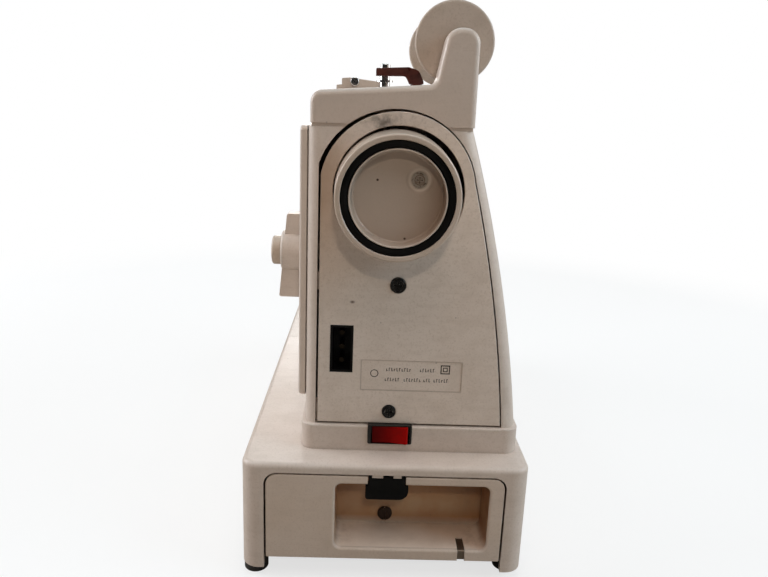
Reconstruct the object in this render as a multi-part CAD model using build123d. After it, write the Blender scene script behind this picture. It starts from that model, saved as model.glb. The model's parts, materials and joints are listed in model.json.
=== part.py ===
from build123d import *
import math
import os

# Household free-arm sewing machine, millimetres.
# X runs along the bed towards the handwheel, Y from the operator's side to the rear,
# and Z up from the table top.

# ---------------------------------------------------------------- driving dimensions

FRONT_TO_REAR = 180.0
HALF_DEPTH = FRONT_TO_REAR / 2
BED_LEFT = -209.0
BED_RIGHT = 205.0
BED_SEAM = -38.0
BED_BOTTOM = 7.0
BED_TOP = 80.0
BED_CORNER = 11.0
BED_EDGE = 3.2
BED_WALL = 4.0
BED_CEILING = 75.5

PLINTH_LEFT = 73.0
PLINTH_RIGHT = 183.8
PLINTH_FRONT = -55.0
PLINTH_REAR = 85.0
PLINTH_TOP = 97.0

COLUMN_LEFT = 75.0
COLUMN_RIGHT = 181.3
BODY_FRONT = -52.5
BODY_REAR = 43.4
COLUMN_FOOT_REAR = 83.2
COLUMN_MID_REAR = 69.6
COLUMN_MID_Z = 182.6
BODY_TOP = 282.0
ARM_UNDERSIDE = 195.0
ARM_LEFT = -197.0
HEAD_RIGHT = -110.0
HEAD_BOTTOM = 168.0
BODY_WALL = 3.5
BODY_CORNER = 8.0

COVER_LEFT = -205.0
COVER_GAP = 2.0
COVER_FRONT = -51.3
COVER_REAR = 43.9
COVER_FRONT_TOP = 302.8
COVER_REAR_TOP = 309.4
COVER_WALL = 3.0
COVER_ROUNDING = 3.4
TOWER_THICKNESS = 15.0
TOWER_TOP = 338.6

SHAFT_Z = 245.2
SHAFT_RADIUS = 5.0
LOWER_SHAFT_Z = 52.0
LOWER_SHAFT_RADIUS = 4.0
FIT = 0.05
SLIP = 0.4

WHEEL_RADIUS = 35.4
WHEEL_BACK_RADIUS = 36.8
WHEEL_FRONT = 209.6
WHEEL_BACK = 178.0
RING_INNER = 28.0
CLUTCH_RADIUS = 27.6
DIMPLE_Y = 12.1
DIMPLE_Z = 255.1

END_COVER_THICKNESS = 1.9
END_COVER_EDGE = 0.5
COVER_ARCH = (0.5, 245.9, 46.0)
COVER_SIDES = (-44.6, 61.5, 72.9, 98.0)
RECESS_ARCH = (-0.6, 245.4, 47.9)
RECESS_SIDES = (-45.9, 62.3, 73.8, 97.0)
COVER_WAIST_Z = 183.8
WHEEL_OPENING_CENTRE = (1.5, 245.1)
WHEEL_OPENING_RADIUS = 38.9
END_SCREW_UPPER = (3.4, 189.4)
END_SCREW_LOWER = (0.9, 106.2)
END_SCREW_RADII = (4.8, 4.3)

SWITCH_Y = (-12.2, 16.2)
SWITCH_Z = (85.2, 98.0)
ROCKER_PIVOT = (182.0, 2.0)

SOCKET_Y = (-37.4, -22.9)
SOCKET_Z = (132.0, 163.0)

RATING_PLATE_Y = (-17.7, 46.0)
RATING_PLATE_Z = (120.5, 140.7)

PANEL_FRONT = -57.5
PANEL_BACK = -53.2
PANEL_RIGHT = 174.5
PANEL_BOTTOM = 112.0
KNOB_BACK = -58.1

KNOB_X = 130.0
KNOB_Z = 198.3
KNOB_RADIUS = 13.4
DIAL_X = 40.0
DIAL_Z = 240.0
TENSION_X = -125.0
TENSION_Z = 215.0

MOTOR_Y = 35.0
MOTOR_Z = 140.0
BELT_X = (165.0, 172.0)
BELT_PULLEY_RADIUS = 30.0
MOTOR_PULLEY_RADIUS = 7.0
TIMING_X = (85.0, 93.0)
UPPER_TIMING_RADIUS = 18.0
LOWER_TIMING_RADIUS = 9.0
BELT_GAP = 0.3

FACE_HINGE = (-197.2, 45.6)
HINGE_Z = (188.0, 246.0)
LIFTER_PIVOT = (-150.0, 185.0)
TAKE_UP_PIVOT = (-30.0, 235.0)
NEEDLE_X = -158.0
PRESSER_Y = 15.0

PLATE_SCREW_X = -136.0
PLATE_SCREW_Y = (-20.0, 20.0)

FREE_ARM_LEFT = -200.0
FREE_ARM_FRONT = -38.0
FREE_ARM_REAR = 46.0
FREE_ARM_BOTTOM = 34.0
TONGUE_TOP = 14.0
FLAP_PIN = (-207.5, 36.4)
FLAP_PIN_RADIUS = 0.9
FLAP_PIN_LENGTH = 2.2
FOOT_RADIUS = 7.7
FOOT_TOP = 14.0
BOTTOM_PLATE_END = 191.5

DRAWER_LEFT = 101.0
DRAWER_HALF = 74.4
DRAWER_BOTTOM = 14.7
DRAWER_TOP = 72.9
DRAWER_GAP = 1.2
NICHE_Y = (-31.3, 65.6)
NICHE_Z = (22.2, 67.3)
NICHE_DEPTH = 30.0
LATCH_TEETH = [(-8.5, -1.7), (4.7, 9.6)]
LATCH_TEETH_BOTTOM = 71.8

SPOOL_Y = 31.0
SPOOL_Z = 332.0
SPOOL_DISC_RADIUS = 23.3
WINDER_X = 145.0
WINDER_Y = -8.7
LEVER_X = 158.0
LEVER_Y = 9.9

# ---------------------------------------------------------------- shape helpers


def block(x0, x1, y0, y1, z0, z1):
    """Plain block between low and high limits on each axis."""
    middle = Pos((x0 + x1) / 2, (y0 + y1) / 2, (z0 + z1) / 2)
    return middle * Box(x1 - x0, y1 - y0, z1 - z0)


def turned(axis, centre, solid, low):
    """Place a solid made along +Z from the origin so that it runs from low along an axis."""
    if axis == "X":
        return Pos(low, centre[0], centre[1]) * Rot(0, 90, 0) * solid
    if axis == "Y":
        return Pos(centre[0], low, centre[1]) * Rot(-90, 0, 0) * solid
    return Pos(centre[0], centre[1], low) * solid


def rod(axis, centre, radius, low, high):
    """Round bar along an axis; centre is its place in the other two axes."""
    bar = Cylinder(radius, high - low, align=(Align.CENTER, Align.CENTER, Align.MIN))
    return turned(axis, centre, bar, low)


def tube(axis, centre, outer, inner, low, high):
    """Round tube along an axis."""
    return rod(axis, centre, outer, low, high) - rod(axis, centre, inner, low - 1, high + 1)


def cone(axis, centre, low_radius, high_radius, low, high):
    """Tapered round bar along an axis."""
    bar = Cone(low_radius, high_radius, high - low, align=(Align.CENTER, Align.CENTER, Align.MIN))
    return turned(axis, centre, bar, low)


def prism(axis, points, radii, low, high):
    """Rounded outline drawn square to an axis and run from low to high along it."""
    planes = {"X": Plane.YZ.offset(low), "Y": Plane.XZ.offset(-high), "Z": Plane.XY.offset(low)}
    outline = make_face(FilletPolyline(*points, radius=radii, close=True))
    return extrude(planes[axis] * outline, high - low)


def rectangle(u0, u1, v0, v1):
    """Corner points of a rectangle, anticlockwise from the low corner."""
    return [(u0, v0), (u1, v0), (u1, v1), (u0, v1)]


def spun_on_shaft(points):
    """Turned part about the main shaft's axis; points are (x, radius)."""
    outline = Plane.XZ * make_face(Polyline(*points, close=True))
    return Pos(0, 0, SHAFT_Z) * revolve(outline, Axis.X)


def belt(radius_a, centre_a, radius_b, centre_b, thickness, low, high):
    """Closed flat belt round two pulleys with axes along X; centres are (y, z)."""

    def loop(extra):
        centres = [(centre_a, radius_a), (centre_b, radius_b)]
        discs = [rod("X", centre, radius + extra, low, high) for centre, radius in centres]
        distance = math.dist(centre_a, centre_b)
        heading = math.atan2(centre_b[1] - centre_a[1], centre_b[0] - centre_a[0])
        spread = math.acos((radius_a - radius_b) / distance)
        corners = []
        for centre, radius, side in [
            (centre_a, radius_a + extra, 1),
            (centre_b, radius_b + extra, 1),
            (centre_b, radius_b + extra, -1),
            (centre_a, radius_a + extra, -1),
        ]:
            angle = heading + side * spread
            corners.append((centre[0] + radius * math.cos(angle), centre[1] + radius * math.sin(angle)))
        web = extrude(Plane.YZ.offset(low) * make_face(Polyline(*corners, close=True)), high - low)
        return discs[0] + discs[1] + web

    return loop(thickness) - loop(0)


def edges_at(solid, axis, place, tolerance=0.01):
    """Edges that lie wholly in the plane square to an axis at a place."""
    chosen = []
    for edge in solid.edges():
        box = edge.bounding_box()
        low = {"X": box.min.X, "Y": box.min.Y, "Z": box.min.Z}[axis]
        high = {"X": box.max.X, "Y": box.max.Y, "Z": box.max.Z}[axis]
        if abs(low - place) < tolerance and abs(high - place) < tolerance:
            chosen.append(edge)
    return ShapeList(chosen)


# ---------------------------------------------------------------- base


def base_shell():
    corners = rectangle(BED_SEAM, BED_RIGHT, -HALF_DEPTH, HALF_DEPTH)
    shell = prism("Z", corners, [0, BED_CORNER, BED_CORNER, 0], BED_BOTTOM, BED_TOP)
    top_edges = [edge for edge in edges_at(shell, "Z", BED_TOP) if edge.center().X > BED_SEAM + 1]
    shell = fillet(top_edges, BED_EDGE)
    plinth_corners = rectangle(PLINTH_LEFT, PLINTH_RIGHT, PLINTH_FRONT, PLINTH_REAR)
    plinth = prism("Z", plinth_corners, [9] * 4, BED_TOP - 1, PLINTH_TOP)
    plinth = fillet(edges_at(plinth, "Z", PLINTH_TOP), 1.2)
    shell += plinth
    inner_right = BED_RIGHT - BED_WALL
    inner_half = HALF_DEPTH - BED_WALL
    shell -= block(BED_SEAM + BED_WALL, inner_right, -inner_half, inner_half, 0, BED_CEILING)
    shell -= block(COLUMN_LEFT + 5, COLUMN_RIGHT - 4, BODY_FRONT + 4, 77, BED_CEILING - 1, PLINTH_TOP + 1)
    opening_half = DRAWER_HALF + DRAWER_GAP
    opening_top = DRAWER_TOP + DRAWER_GAP
    opening = rectangle(-opening_half, opening_half, BED_BOTTOM - 1, opening_top)
    shell -= prism("X", opening, [0, 0, 8.2, 8.2], inner_right - 1, BED_RIGHT + 1)
    for y0, y1 in LATCH_TEETH:
        shell += block(inner_right, BED_RIGHT - 0.8, y0, y1, LATCH_TEETH_BOTTOM, opening_top + 1)
    shell -= block(BED_SEAM - 1, BED_SEAM + BED_WALL + 1, -20, 30, 36, 70)
    switch_pocket = PLINTH_RIGHT - 9
    shell -= block(switch_pocket, PLINTH_RIGHT + 1, SWITCH_Y[0], SWITCH_Y[1], SWITCH_Z[0], PLINTH_TOP + 1)
    tongue_front = FREE_ARM_FRONT - 0.5
    tongue_rear = FREE_ARM_REAR + 0.5
    shell -= block(BED_SEAM - 1, BED_SEAM + BED_WALL + 1, tongue_front, tongue_rear, 0, TONGUE_TOP + 0.5)
    return shell


def bottom_plate():
    half = HALF_DEPTH - BED_WALL - 0.4
    plate_left = BED_SEAM + BED_WALL + 0.4
    plate = block(plate_left, BOTTOM_PLATE_END, -half, half, BED_BOTTOM, 11)
    for side in (-1, 1):
        rail_y = sorted([side * 60, side * 70])
        plate += block(95, BOTTOM_PLATE_END - 0.5, rail_y[0], rail_y[1], 10, DRAWER_BOTTOM - 0.5)
    plate += block(FREE_ARM_LEFT, -30, FREE_ARM_FRONT, FREE_ARM_REAR, BED_BOTTOM, TONGUE_TOP)
    plate += block(66, 78, -11, 11, 10, LOWER_SHAFT_Z + 11)
    plate -= rod("X", (0, LOWER_SHAFT_Z), 7, 65, 79)
    for x in range(-20, 90, 14):
        for y in (-70, 60):
            plate -= block(x, x + 5, y, y + 14, 0, 12)
    for centre in tall_foot_places():
        plate -= rod("Z", centre, FOOT_RADIUS + FIT, BED_BOTTOM - 1, FOOT_TOP + 1)
    return plate


def tall_foot_places():
    """Corner feet below the drawer; the rear one stands a little further in."""
    return [(193, -82), (186.5, 82)]


def low_foot_places():
    """Feet under the seam end of the base and under the free arm's tongue."""
    base = [(-24, y) for y in (-81, 81)]
    tongue = [(-188, y) for y in (-27, 35)]
    return base + tongue


def rubber_feet():
    feet = []
    inner_half = HALF_DEPTH - BED_WALL - 0.3
    inner_right = BED_RIGHT - BED_WALL - 0.3
    for centre in tall_foot_places():
        side = math.copysign(1, centre[1])
        wall_y = sorted([side * inner_half, side * (HALF_DEPTH + 2)])
        foot = rod("Z", centre, FOOT_RADIUS, 0, FOOT_TOP)
        foot = fillet(foot.edges().filter_by(GeomType.CIRCLE), 0.8)
        foot -= block(170, BED_RIGHT + 1, wall_y[0], wall_y[1], BED_BOTTOM, FOOT_TOP + 1)
        foot -= block(inner_right, BED_RIGHT + 1, -HALF_DEPTH, HALF_DEPTH, BED_BOTTOM, FOOT_TOP + 1)
        feet.append(foot)
    for centre in low_foot_places():
        foot = cone("Z", centre, 6.2, 7, 0, BED_BOTTOM)
        feet.append(fillet(edges_at(foot, "Z", 0), 1))
    return feet


def free_arm():
    corners = rectangle(FREE_ARM_FRONT, FREE_ARM_REAR, FREE_ARM_BOTTOM, BED_TOP)
    arm = prism("X", corners, [7, 7, 2.5, 2.5], FREE_ARM_LEFT, BED_SEAM)
    inside = rectangle(FREE_ARM_FRONT + 3, FREE_ARM_REAR - 3, FREE_ARM_BOTTOM + 3, BED_TOP - 3.5)
    arm -= prism("X", inside, [4, 4, 1, 1], FREE_ARM_LEFT - 1, BED_SEAM + 1)
    arm -= block(-190.3, -129.7, -27.3, 27.3, BED_TOP - 2, BED_TOP + 1)
    arm -= block(-185, -142, -23, 23, BED_TOP - 5, BED_TOP)
    for y in PLATE_SCREW_Y:
        arm -= rod("Z", (PLATE_SCREW_X, y), 1.5, BED_TOP - 5, BED_TOP)
    for x in (-128, -60):
        arm += block(x, x + 12, -11, 11, FREE_ARM_BOTTOM + 1, LOWER_SHAFT_Z + 11)
        arm -= rod("X", (0, LOWER_SHAFT_Z), 7, x - 1, x + 13)
    return arm


def needle_plate():
    corners = rectangle(-190, -130, -27, 27)
    plate = prism("Z", corners, [4] * 4, BED_TOP - 2, BED_TOP)
    plate -= block(NEEDLE_X - 3, NEEDLE_X + 3, -1.2, 1.2, BED_TOP - 3, BED_TOP + 1)
    for x in (NEEDLE_X - 8, NEEDLE_X + 5):
        plate -= block(x - 0.4, x + 3.4, -11.5, 11.5, BED_TOP - 3, BED_TOP + 1)
    for y in PLATE_SCREW_Y:
        plate -= rod("Z", (PLATE_SCREW_X, y), 1.8, BED_TOP - 3, BED_TOP + 1)
        plate -= cone("Z", (PLATE_SCREW_X, y), 1.8, 3.8, BED_TOP - 1.6, BED_TOP + 0.4)
    return plate


def feed_dog():
    dog = block(NEEDLE_X - 8, NEEDLE_X + 8, -8, 8, 68, 74)
    for x in (NEEDLE_X - 8, NEEDLE_X + 5):
        dog += block(x, x + 3, -8, 8, 73, BED_TOP)
        for tooth in range(8):
            y = -8 + 2 * tooth
            profile = [(y, BED_TOP), (y + 2, BED_TOP), (y + 0.6, BED_TOP + 0.8)]
            dog += prism("X", profile, [0, 0, 0], x, x + 3)
    dog -= block(NEEDLE_X - 3.5, NEEDLE_X + 3.5, -5, 5, 67, 75)
    return dog


# ---------------------------------------------------------------- extension table and bobbin flap


def extension_table():
    left = BED_LEFT
    right = BED_SEAM - 0.5
    corners = rectangle(left, right, -HALF_DEPTH, HALF_DEPTH)
    table = prism("Z", corners, [BED_CORNER, 0, 0, BED_CORNER], BED_BOTTOM, BED_TOP)
    top_edges = [edge for edge in edges_at(table, "Z", BED_TOP) if edge.center().X < right - 1]
    table = fillet(top_edges, BED_EDGE)
    front_wall = FREE_ARM_FRONT - 1.5
    rear_wall = FREE_ARM_REAR + 1.5
    wall = 3
    for y0, y1 in [(-HALF_DEPTH + wall, front_wall - wall), (rear_wall + wall, HALF_DEPTH - wall)]:
        table -= block(left + wall, right - wall, y0, y1, 0, BED_TOP - 3.5)
    table -= block(FREE_ARM_LEFT - 4, right + 1, front_wall, rear_wall, 30, BED_TOP + 1)
    table -= block(FREE_ARM_LEFT - 4, right + 1, front_wall, rear_wall, 0, 26.5)
    flap_hole = rectangle(front_wall + 3, rear_wall - 3, 34, 74)
    table -= prism("X", flap_hole, [0, 0, 3, 3], left - 1, FREE_ARM_LEFT)
    pin_front = front_wall + 3 - FLAP_PIN_LENGTH
    pin_rear = rear_wall - 3 + FLAP_PIN_LENGTH
    table -= rod("Y", FLAP_PIN, FLAP_PIN_RADIUS + FIT, pin_front - 0.2, pin_rear + 0.2)
    return table


def bobbin_flap():
    low = FREE_ARM_FRONT + 1.5 + SLIP
    high = FREE_ARM_REAR - 1.5 - SLIP
    flap = prism("X", rectangle(low, high, 34.9, 73.5), [0, 0, 3, 3], BED_LEFT, BED_LEFT + 2.8)
    flap -= block(BED_LEFT - 1, BED_LEFT + 1.2, -6, 14, 66, 70)
    pin_front = low + SLIP - FLAP_PIN_LENGTH
    pin_rear = high - SLIP + FLAP_PIN_LENGTH
    return flap + rod("Y", FLAP_PIN, FLAP_PIN_RADIUS, pin_front, pin_rear)


# ---------------------------------------------------------------- column, arm and head


def rear_curve(inset=0.0):
    """Gently bowed rear edge of the column from its top down to its foot."""
    top = (BODY_REAR - inset, BODY_TOP + 1)
    middle = (COLUMN_MID_REAR - inset, COLUMN_MID_Z)
    foot = (COLUMN_FOOT_REAR - inset, PLINTH_TOP)
    return ThreePointArc(top, middle, foot)


def rear_slice(x0, x1, front, inset, bottom):
    """Part of the column behind a front plane, out to the bowed rear edge."""
    curve = rear_curve(inset)
    edges = [
        curve,
        Line(curve @ 1, (COLUMN_FOOT_REAR - inset, bottom)),
        Line((COLUMN_FOOT_REAR - inset, bottom), (front, bottom)),
        Line((front, bottom), (front, BODY_TOP + 1)),
        Line((front, BODY_TOP + 1), curve @ 0),
    ]
    outline = make_face([edge for edge in edges if edge.length > 0.001])
    return extrude(Plane.YZ.offset(x0) * outline, x1 - x0)


def arched_prism(arch, sides, x0, x1):
    """Arch-topped panel shape of the end cover and its recess; sides are left, waist, foot and bottom."""
    centre_y, centre_z, radius = arch
    left, waist, foot, bottom = sides
    left_angle = math.acos((left - centre_y) / radius)
    right_angle = math.radians(9)
    left_top = (left, centre_z + radius * math.sin(left_angle))
    right_top = (centre_y + radius * math.cos(right_angle), centre_z + radius * math.sin(right_angle))
    arc = ThreePointArc(left_top, (centre_y, centre_z + radius), right_top)
    side = ThreePointArc(right_top, (waist, COVER_WAIST_Z), (foot, bottom))
    base = Line((foot, bottom), (left, bottom))
    front = Line((left, bottom), left_top)
    return extrude(Plane.YZ.offset(x0) * make_face([arc, side, base, front]), x1 - x0)


def arm_body():
    outline = [
        (ARM_LEFT, HEAD_BOTTOM),
        (HEAD_RIGHT, HEAD_BOTTOM),
        (HEAD_RIGHT, ARM_UNDERSIDE),
        (COLUMN_LEFT, ARM_UNDERSIDE),
        (COLUMN_LEFT, PLINTH_TOP),
        (COLUMN_RIGHT, PLINTH_TOP),
        (COLUMN_RIGHT, BODY_TOP),
        (ARM_LEFT, BODY_TOP),
    ]
    body = prism("Y", outline, [0, 6, 10, 18, 0, 0, 0, 0], BODY_FRONT, BODY_REAR)
    body += rear_slice(COLUMN_LEFT, COLUMN_RIGHT, BODY_REAR - 5, 0, PLINTH_TOP)
    above = (BODY_TOP, BODY_TOP + 2)
    body -= block(ARM_LEFT - 1, COLUMN_RIGHT + 1, BODY_FRONT - 1, COLUMN_FOOT_REAR + 1, *above)
    corner_edges = [
        edge
        for edge in edges_at(body, "X", COLUMN_RIGHT)
        if edge.length > 100 and abs(edge.center().Z - PLINTH_TOP) > 5
    ]
    body = fillet(corner_edges, BODY_CORNER)
    inner_front = BODY_FRONT + BODY_WALL
    inner_rear = BODY_REAR - BODY_WALL
    head_height = (HEAD_BOTTOM + 4, BODY_TOP + 1)
    body -= block(ARM_LEFT - 1, HEAD_RIGHT - BODY_WALL, inner_front, inner_rear, *head_height)
    body -= block(ARM_LEFT - 1, COLUMN_LEFT + 10, inner_front, inner_rear, ARM_UNDERSIDE + 4, BODY_TOP + 1)
    column_left = COLUMN_LEFT + BODY_WALL
    column_right = COLUMN_RIGHT - 5
    body -= block(column_left, column_right, inner_front, inner_rear, PLINTH_TOP - 1, BODY_TOP + 1)
    body -= rear_slice(column_left, column_right, inner_rear - 5, BODY_WALL, PLINTH_TOP)
    body -= arched_prism(RECESS_ARCH, RECESS_SIDES, column_right - 1, COLUMN_RIGHT + 1)
    beam_back = COLUMN_RIGHT - 8
    pad_front = COLUMN_RIGHT - END_COVER_THICKNESS - 0.1
    for rear, pad_rear, low, high in ((60, 52, 184, 195), (78, 64, PLINTH_TOP, 111)):
        body += block(beam_back, column_right, inner_front - 1, rear, low, high)
        body += block(beam_back, pad_front, -38, pad_rear, low, high)
    for screw in (END_SCREW_UPPER, END_SCREW_LOWER):
        body -= rod("X", screw, 2, COLUMN_RIGHT - 9, COLUMN_RIGHT)
    body -= block(NEEDLE_X + 6, NEEDLE_X + 12, BODY_FRONT - 1, inner_front + 1, 186, 276)
    for x in (KNOB_X, DIAL_X):
        z = KNOB_Z if x == KNOB_X else DIAL_Z
        body -= rod("Y", (x, z), 6, BODY_FRONT - 1, inner_front + 1)
    body -= rod("Y", (TENSION_X, TENSION_Z), 3.1, BODY_FRONT - 1, inner_front + 1)
    for y, radius in ((0, 6), (PRESSER_Y, 5.5)):
        body -= rod("Z", (NEEDLE_X, y), radius, HEAD_BOTTOM - 1, HEAD_BOTTOM + 5)
    body -= rod("Y", LIFTER_PIVOT, 4 + FIT, inner_rear - 1, BODY_REAR + 1)
    pocket = (SWITCH_Y[0], SWITCH_Y[1], PLINTH_TOP - 1, SWITCH_Z[1] + 0.4)
    body -= block(COLUMN_RIGHT - 9, COLUMN_RIGHT + 1, *pocket)
    for z in HINGE_Z:
        knuckle = rod("Z", FACE_HINGE, 2.2, z + 12.4, z + 24)
        leaf_left = FACE_HINGE[0]
        knuckle += block(leaf_left, leaf_left + 2.2, BODY_REAR - 1, FACE_HINGE[1], z + 12.4, z + 24)
        body += knuckle + rod("Z", FACE_HINGE, 1, z + 1, z + 13)
    return body


def arm_frame():
    frame = block(-138, 154, -26, 26, 201, 207)
    for x in (-136, -30, 62, 142):
        frame += block(x, x + 12, -12, 12, 206, SHAFT_Z + 12)
        frame -= rod("X", (0, SHAFT_Z), 8, x - 1, x + 13)
    frame += block(-170, -137, -14, 24, 201, 207)
    frame += block(-170, -148.2, -14, 24, 228, 232)
    frame += block(-170, -137, 21, 24, 201, 232)
    frame += block(-145.5, -141, -34, -10, 201, 207)
    frame += block(-145.5, -141, -34, -25, 201, 240)
    frame += rod("X", TAKE_UP_PIVOT, 2, -153, -141)
    for radius, low, high in ((8, 200, 208), (6, 227, 233)):
        frame -= rod("Z", (NEEDLE_X, 0), radius, low, high)
    frame -= rod("Z", (NEEDLE_X, PRESSER_Y), 5.5, 200, 233)
    frame -= block(-154, -145.9, -7.4, 7.4, 200, 233)
    frame -= block(TIMING_X[0] - 2, TIMING_X[1] + 2, -20.6, 20.6, 200, 208)
    saddle_outline = [(2, 90), (68, 90), (68, 172), (26, 206), (-16, 206), (-16, 196)]
    saddle = prism("X", saddle_outline, [0] * 6, 158, 162)
    frame += saddle + block(150, 162, -16, 22, 201, 207)
    frame -= rod("X", (MOTOR_Y, MOTOR_Z), 9 + FIT, 157, 163)
    return frame


def shaft_bushes():
    bushes = []
    for x in (-136, -30, 62, 142):
        bushes.append(tube("X", (0, SHAFT_Z), 8, SHAFT_RADIUS + FIT, x - 1, x + 13))
    for x in (-128, -60, 66):
        bushes.append(tube("X", (0, LOWER_SHAFT_Z), 7, LOWER_SHAFT_RADIUS + FIT, x - 1, x + 13))
    for z in (HEAD_BOTTOM, 228):
        bushes.append(tube("Z", (NEEDLE_X, 0), 6, 3.5 + FIT, z, z + 5))
        bushes.append(tube("Z", (NEEDLE_X, PRESSER_Y), 5.5, 3 + FIT, z, z + 5))
    return bushes


def top_cover():
    bottom = BODY_TOP + COVER_GAP
    front_top = (COVER_FRONT, COVER_FRONT_TOP - 1)
    profile = [(COVER_FRONT, bottom), (COVER_REAR, bottom), (COVER_REAR, COVER_REAR_TOP), front_top]
    cover = prism("X", profile, [0, 0, 5, 7], COVER_LEFT, COLUMN_RIGHT)
    tower_profile = [
        (COVER_FRONT, bottom),
        (COVER_REAR, bottom),
        (COVER_REAR, TOWER_TOP),
        (25.9, TOWER_TOP),
        (19.8, 307.5),
        front_top,
    ]
    tower_left = COLUMN_RIGHT - TOWER_THICKNESS
    cover += prism("X", tower_profile, [0, 0, 8.8, 8.8, 4.5, 7], tower_left, COLUMN_RIGHT)
    end_edges = [edge for edge in edges_at(cover, "X", COLUMN_RIGHT) if edge.center().Z > bottom + 3]
    cover = fillet(end_edges, COVER_ROUNDING)
    inside = [
        (COVER_FRONT + COVER_WALL, bottom - 1),
        (COVER_REAR - COVER_WALL, bottom - 1),
        (COVER_REAR - COVER_WALL, COVER_REAR_TOP - COVER_WALL),
        (COVER_FRONT + COVER_WALL, COVER_FRONT_TOP - COVER_WALL - 1),
    ]
    cover -= prism("X", inside, [0, 0, 3, 5], COVER_LEFT + COVER_WALL, COLUMN_RIGHT - COVER_WALL)
    lip = block(ARM_LEFT + 1, COLUMN_RIGHT - 5.8, -48.7, 39.6, BODY_TOP - 6, bottom + 2.5)
    cover += lip - block(ARM_LEFT + 3, COLUMN_RIGHT - 7.8, -46.7, 37.6, BODY_TOP - 7, bottom + 3)
    seat_bottom = BODY_TOP + FIT
    seat = block(ARM_LEFT + 1, COLUMN_RIGHT - 0.9, COVER_FRONT + 0.9, COVER_REAR - 1.2, seat_bottom, bottom + 0.5)
    cover += seat - block(ARM_LEFT + 4, COLUMN_RIGHT - 3.5, -47, 38, BODY_TOP - 1, bottom + 1)
    cover -= rod("X", RECESS_ARCH[:2], RECESS_ARCH[2], COLUMN_RIGHT - 9, COLUMN_RIGHT + 1)
    cover -= rod("Z", (WINDER_X, WINDER_Y), 3.1 + FIT, 290, 320)
    cover -= rod("X", (SPOOL_Y, SPOOL_Z), 2, tower_left - 1, COLUMN_RIGHT - 4)
    cover -= rod("Z", (LEVER_X, LEVER_Y), 4, 298, 312)
    return cover


def control_panel():
    outline = [
        (-104, 201),
        (79, 201),
        (79, PANEL_BOTTOM),
        (PANEL_RIGHT, PANEL_BOTTOM),
        (PANEL_RIGHT, BODY_TOP),
        (-104, BODY_TOP),
    ]
    panel = prism("Y", outline, [3, 8, 3, 5, 3, 3], PANEL_FRONT, PANEL_BACK)
    panel = fillet(edges_at(panel, "Y", PANEL_FRONT), 1.6)
    inner = [
        (-101, 204),
        (82, 204),
        (82, PANEL_BOTTOM + 3),
        (PANEL_RIGHT - 3, PANEL_BOTTOM + 3),
        (PANEL_RIGHT - 3, BODY_TOP - 3),
        (-101, BODY_TOP - 3),
    ]
    panel += prism("Y", inner, [2] * 6, PANEL_BACK, BODY_FRONT)
    panel -= rod("Y", (KNOB_X, KNOB_Z), 6, PANEL_FRONT - 1, BODY_FRONT + 1)
    panel -= rod("Y", (DIAL_X, DIAL_Z), 6, PANEL_FRONT - 1, BODY_FRONT + 1)
    return panel


def end_cover():
    cover = arched_prism(COVER_ARCH, COVER_SIDES, COLUMN_RIGHT - END_COVER_THICKNESS, COLUMN_RIGHT)
    cover -= rod("X", WHEEL_OPENING_CENTRE, WHEEL_OPENING_RADIUS, COLUMN_RIGHT - 4, COLUMN_RIGHT + 1)
    cover = fillet(edges_at(cover, "X", COLUMN_RIGHT), END_COVER_EDGE)
    for screw, radius in zip((END_SCREW_UPPER, END_SCREW_LOWER), END_SCREW_RADII):
        cover -= rod("X", screw, 2.2, COLUMN_RIGHT - 4, COLUMN_RIGHT + 1)
        cover -= rod("X", screw, radius + 0.4, COLUMN_RIGHT - 0.8, COLUMN_RIGHT + 1)
    cover -= block(COLUMN_RIGHT - 4, COLUMN_RIGHT + 1, SOCKET_Y[0], SOCKET_Y[1], SOCKET_Z[0], SOCKET_Z[1])
    plate = rectangle(RATING_PLATE_Y[0], RATING_PLATE_Y[1], RATING_PLATE_Z[0], RATING_PLATE_Z[1])
    cover -= prism("X", plate, [2] * 4, COLUMN_RIGHT - 0.4, COLUMN_RIGHT + 1)
    return cover


def machine_screws():
    """Cross-head screws of the end cover and countersunk screws of the needle plate."""
    screws = []
    for (y, z), radius in zip((END_SCREW_UPPER, END_SCREW_LOWER), END_SCREW_RADII):
        head_back = COLUMN_RIGHT - 0.8
        head_front = COLUMN_RIGHT + 1.2
        screw = rod("X", (y, z), radius, head_back, head_front)
        screw = fillet(edges_at(screw, "X", head_front), 0.8)
        screw += rod("X", (y, z), 1.9, COLUMN_RIGHT - 8, head_back + 0.1)
        screw -= tube("X", (y, z), radius - 1, radius - 1.5, head_front - 0.35, head_front + 1)
        screw -= block(head_front - 1.4, head_front + 1, y - 2.5, y + 2.5, z - 0.55, z + 0.55)
        screw -= block(head_front - 1.4, head_front + 1, y - 0.55, y + 0.55, z - 2.5, z + 2.5)
        screws.append(screw)
    for y in PLATE_SCREW_Y:
        centre = (PLATE_SCREW_X, y)
        screw = cone("Z", centre, 1.5, 3.0, BED_TOP - 1.5, BED_TOP - 0.1)
        screw += rod("Z", centre, 1.4, BED_TOP - 3.4, BED_TOP - 1.4)
        screw -= block(PLATE_SCREW_X - 3, PLATE_SCREW_X + 3, y - 0.4, y + 0.4, BED_TOP - 0.6, BED_TOP + 1)
        screws.append(screw)
    return screws


def socket_block():
    block_back = COLUMN_RIGHT - 20
    margin = 0.2
    y0 = SOCKET_Y[0] + margin
    y1 = SOCKET_Y[1] - margin
    z0 = SOCKET_Z[0] + margin
    z1 = SOCKET_Z[1] - margin
    socket = block(block_back, COLUMN_RIGHT - 0.2, y0, y1, z0, z1)
    socket -= block(block_back + 4, COLUMN_RIGHT + 1, y0 + 1.4, y1 - 1.4, z0 + 1.4, z1 - 1.4)
    return socket


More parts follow.
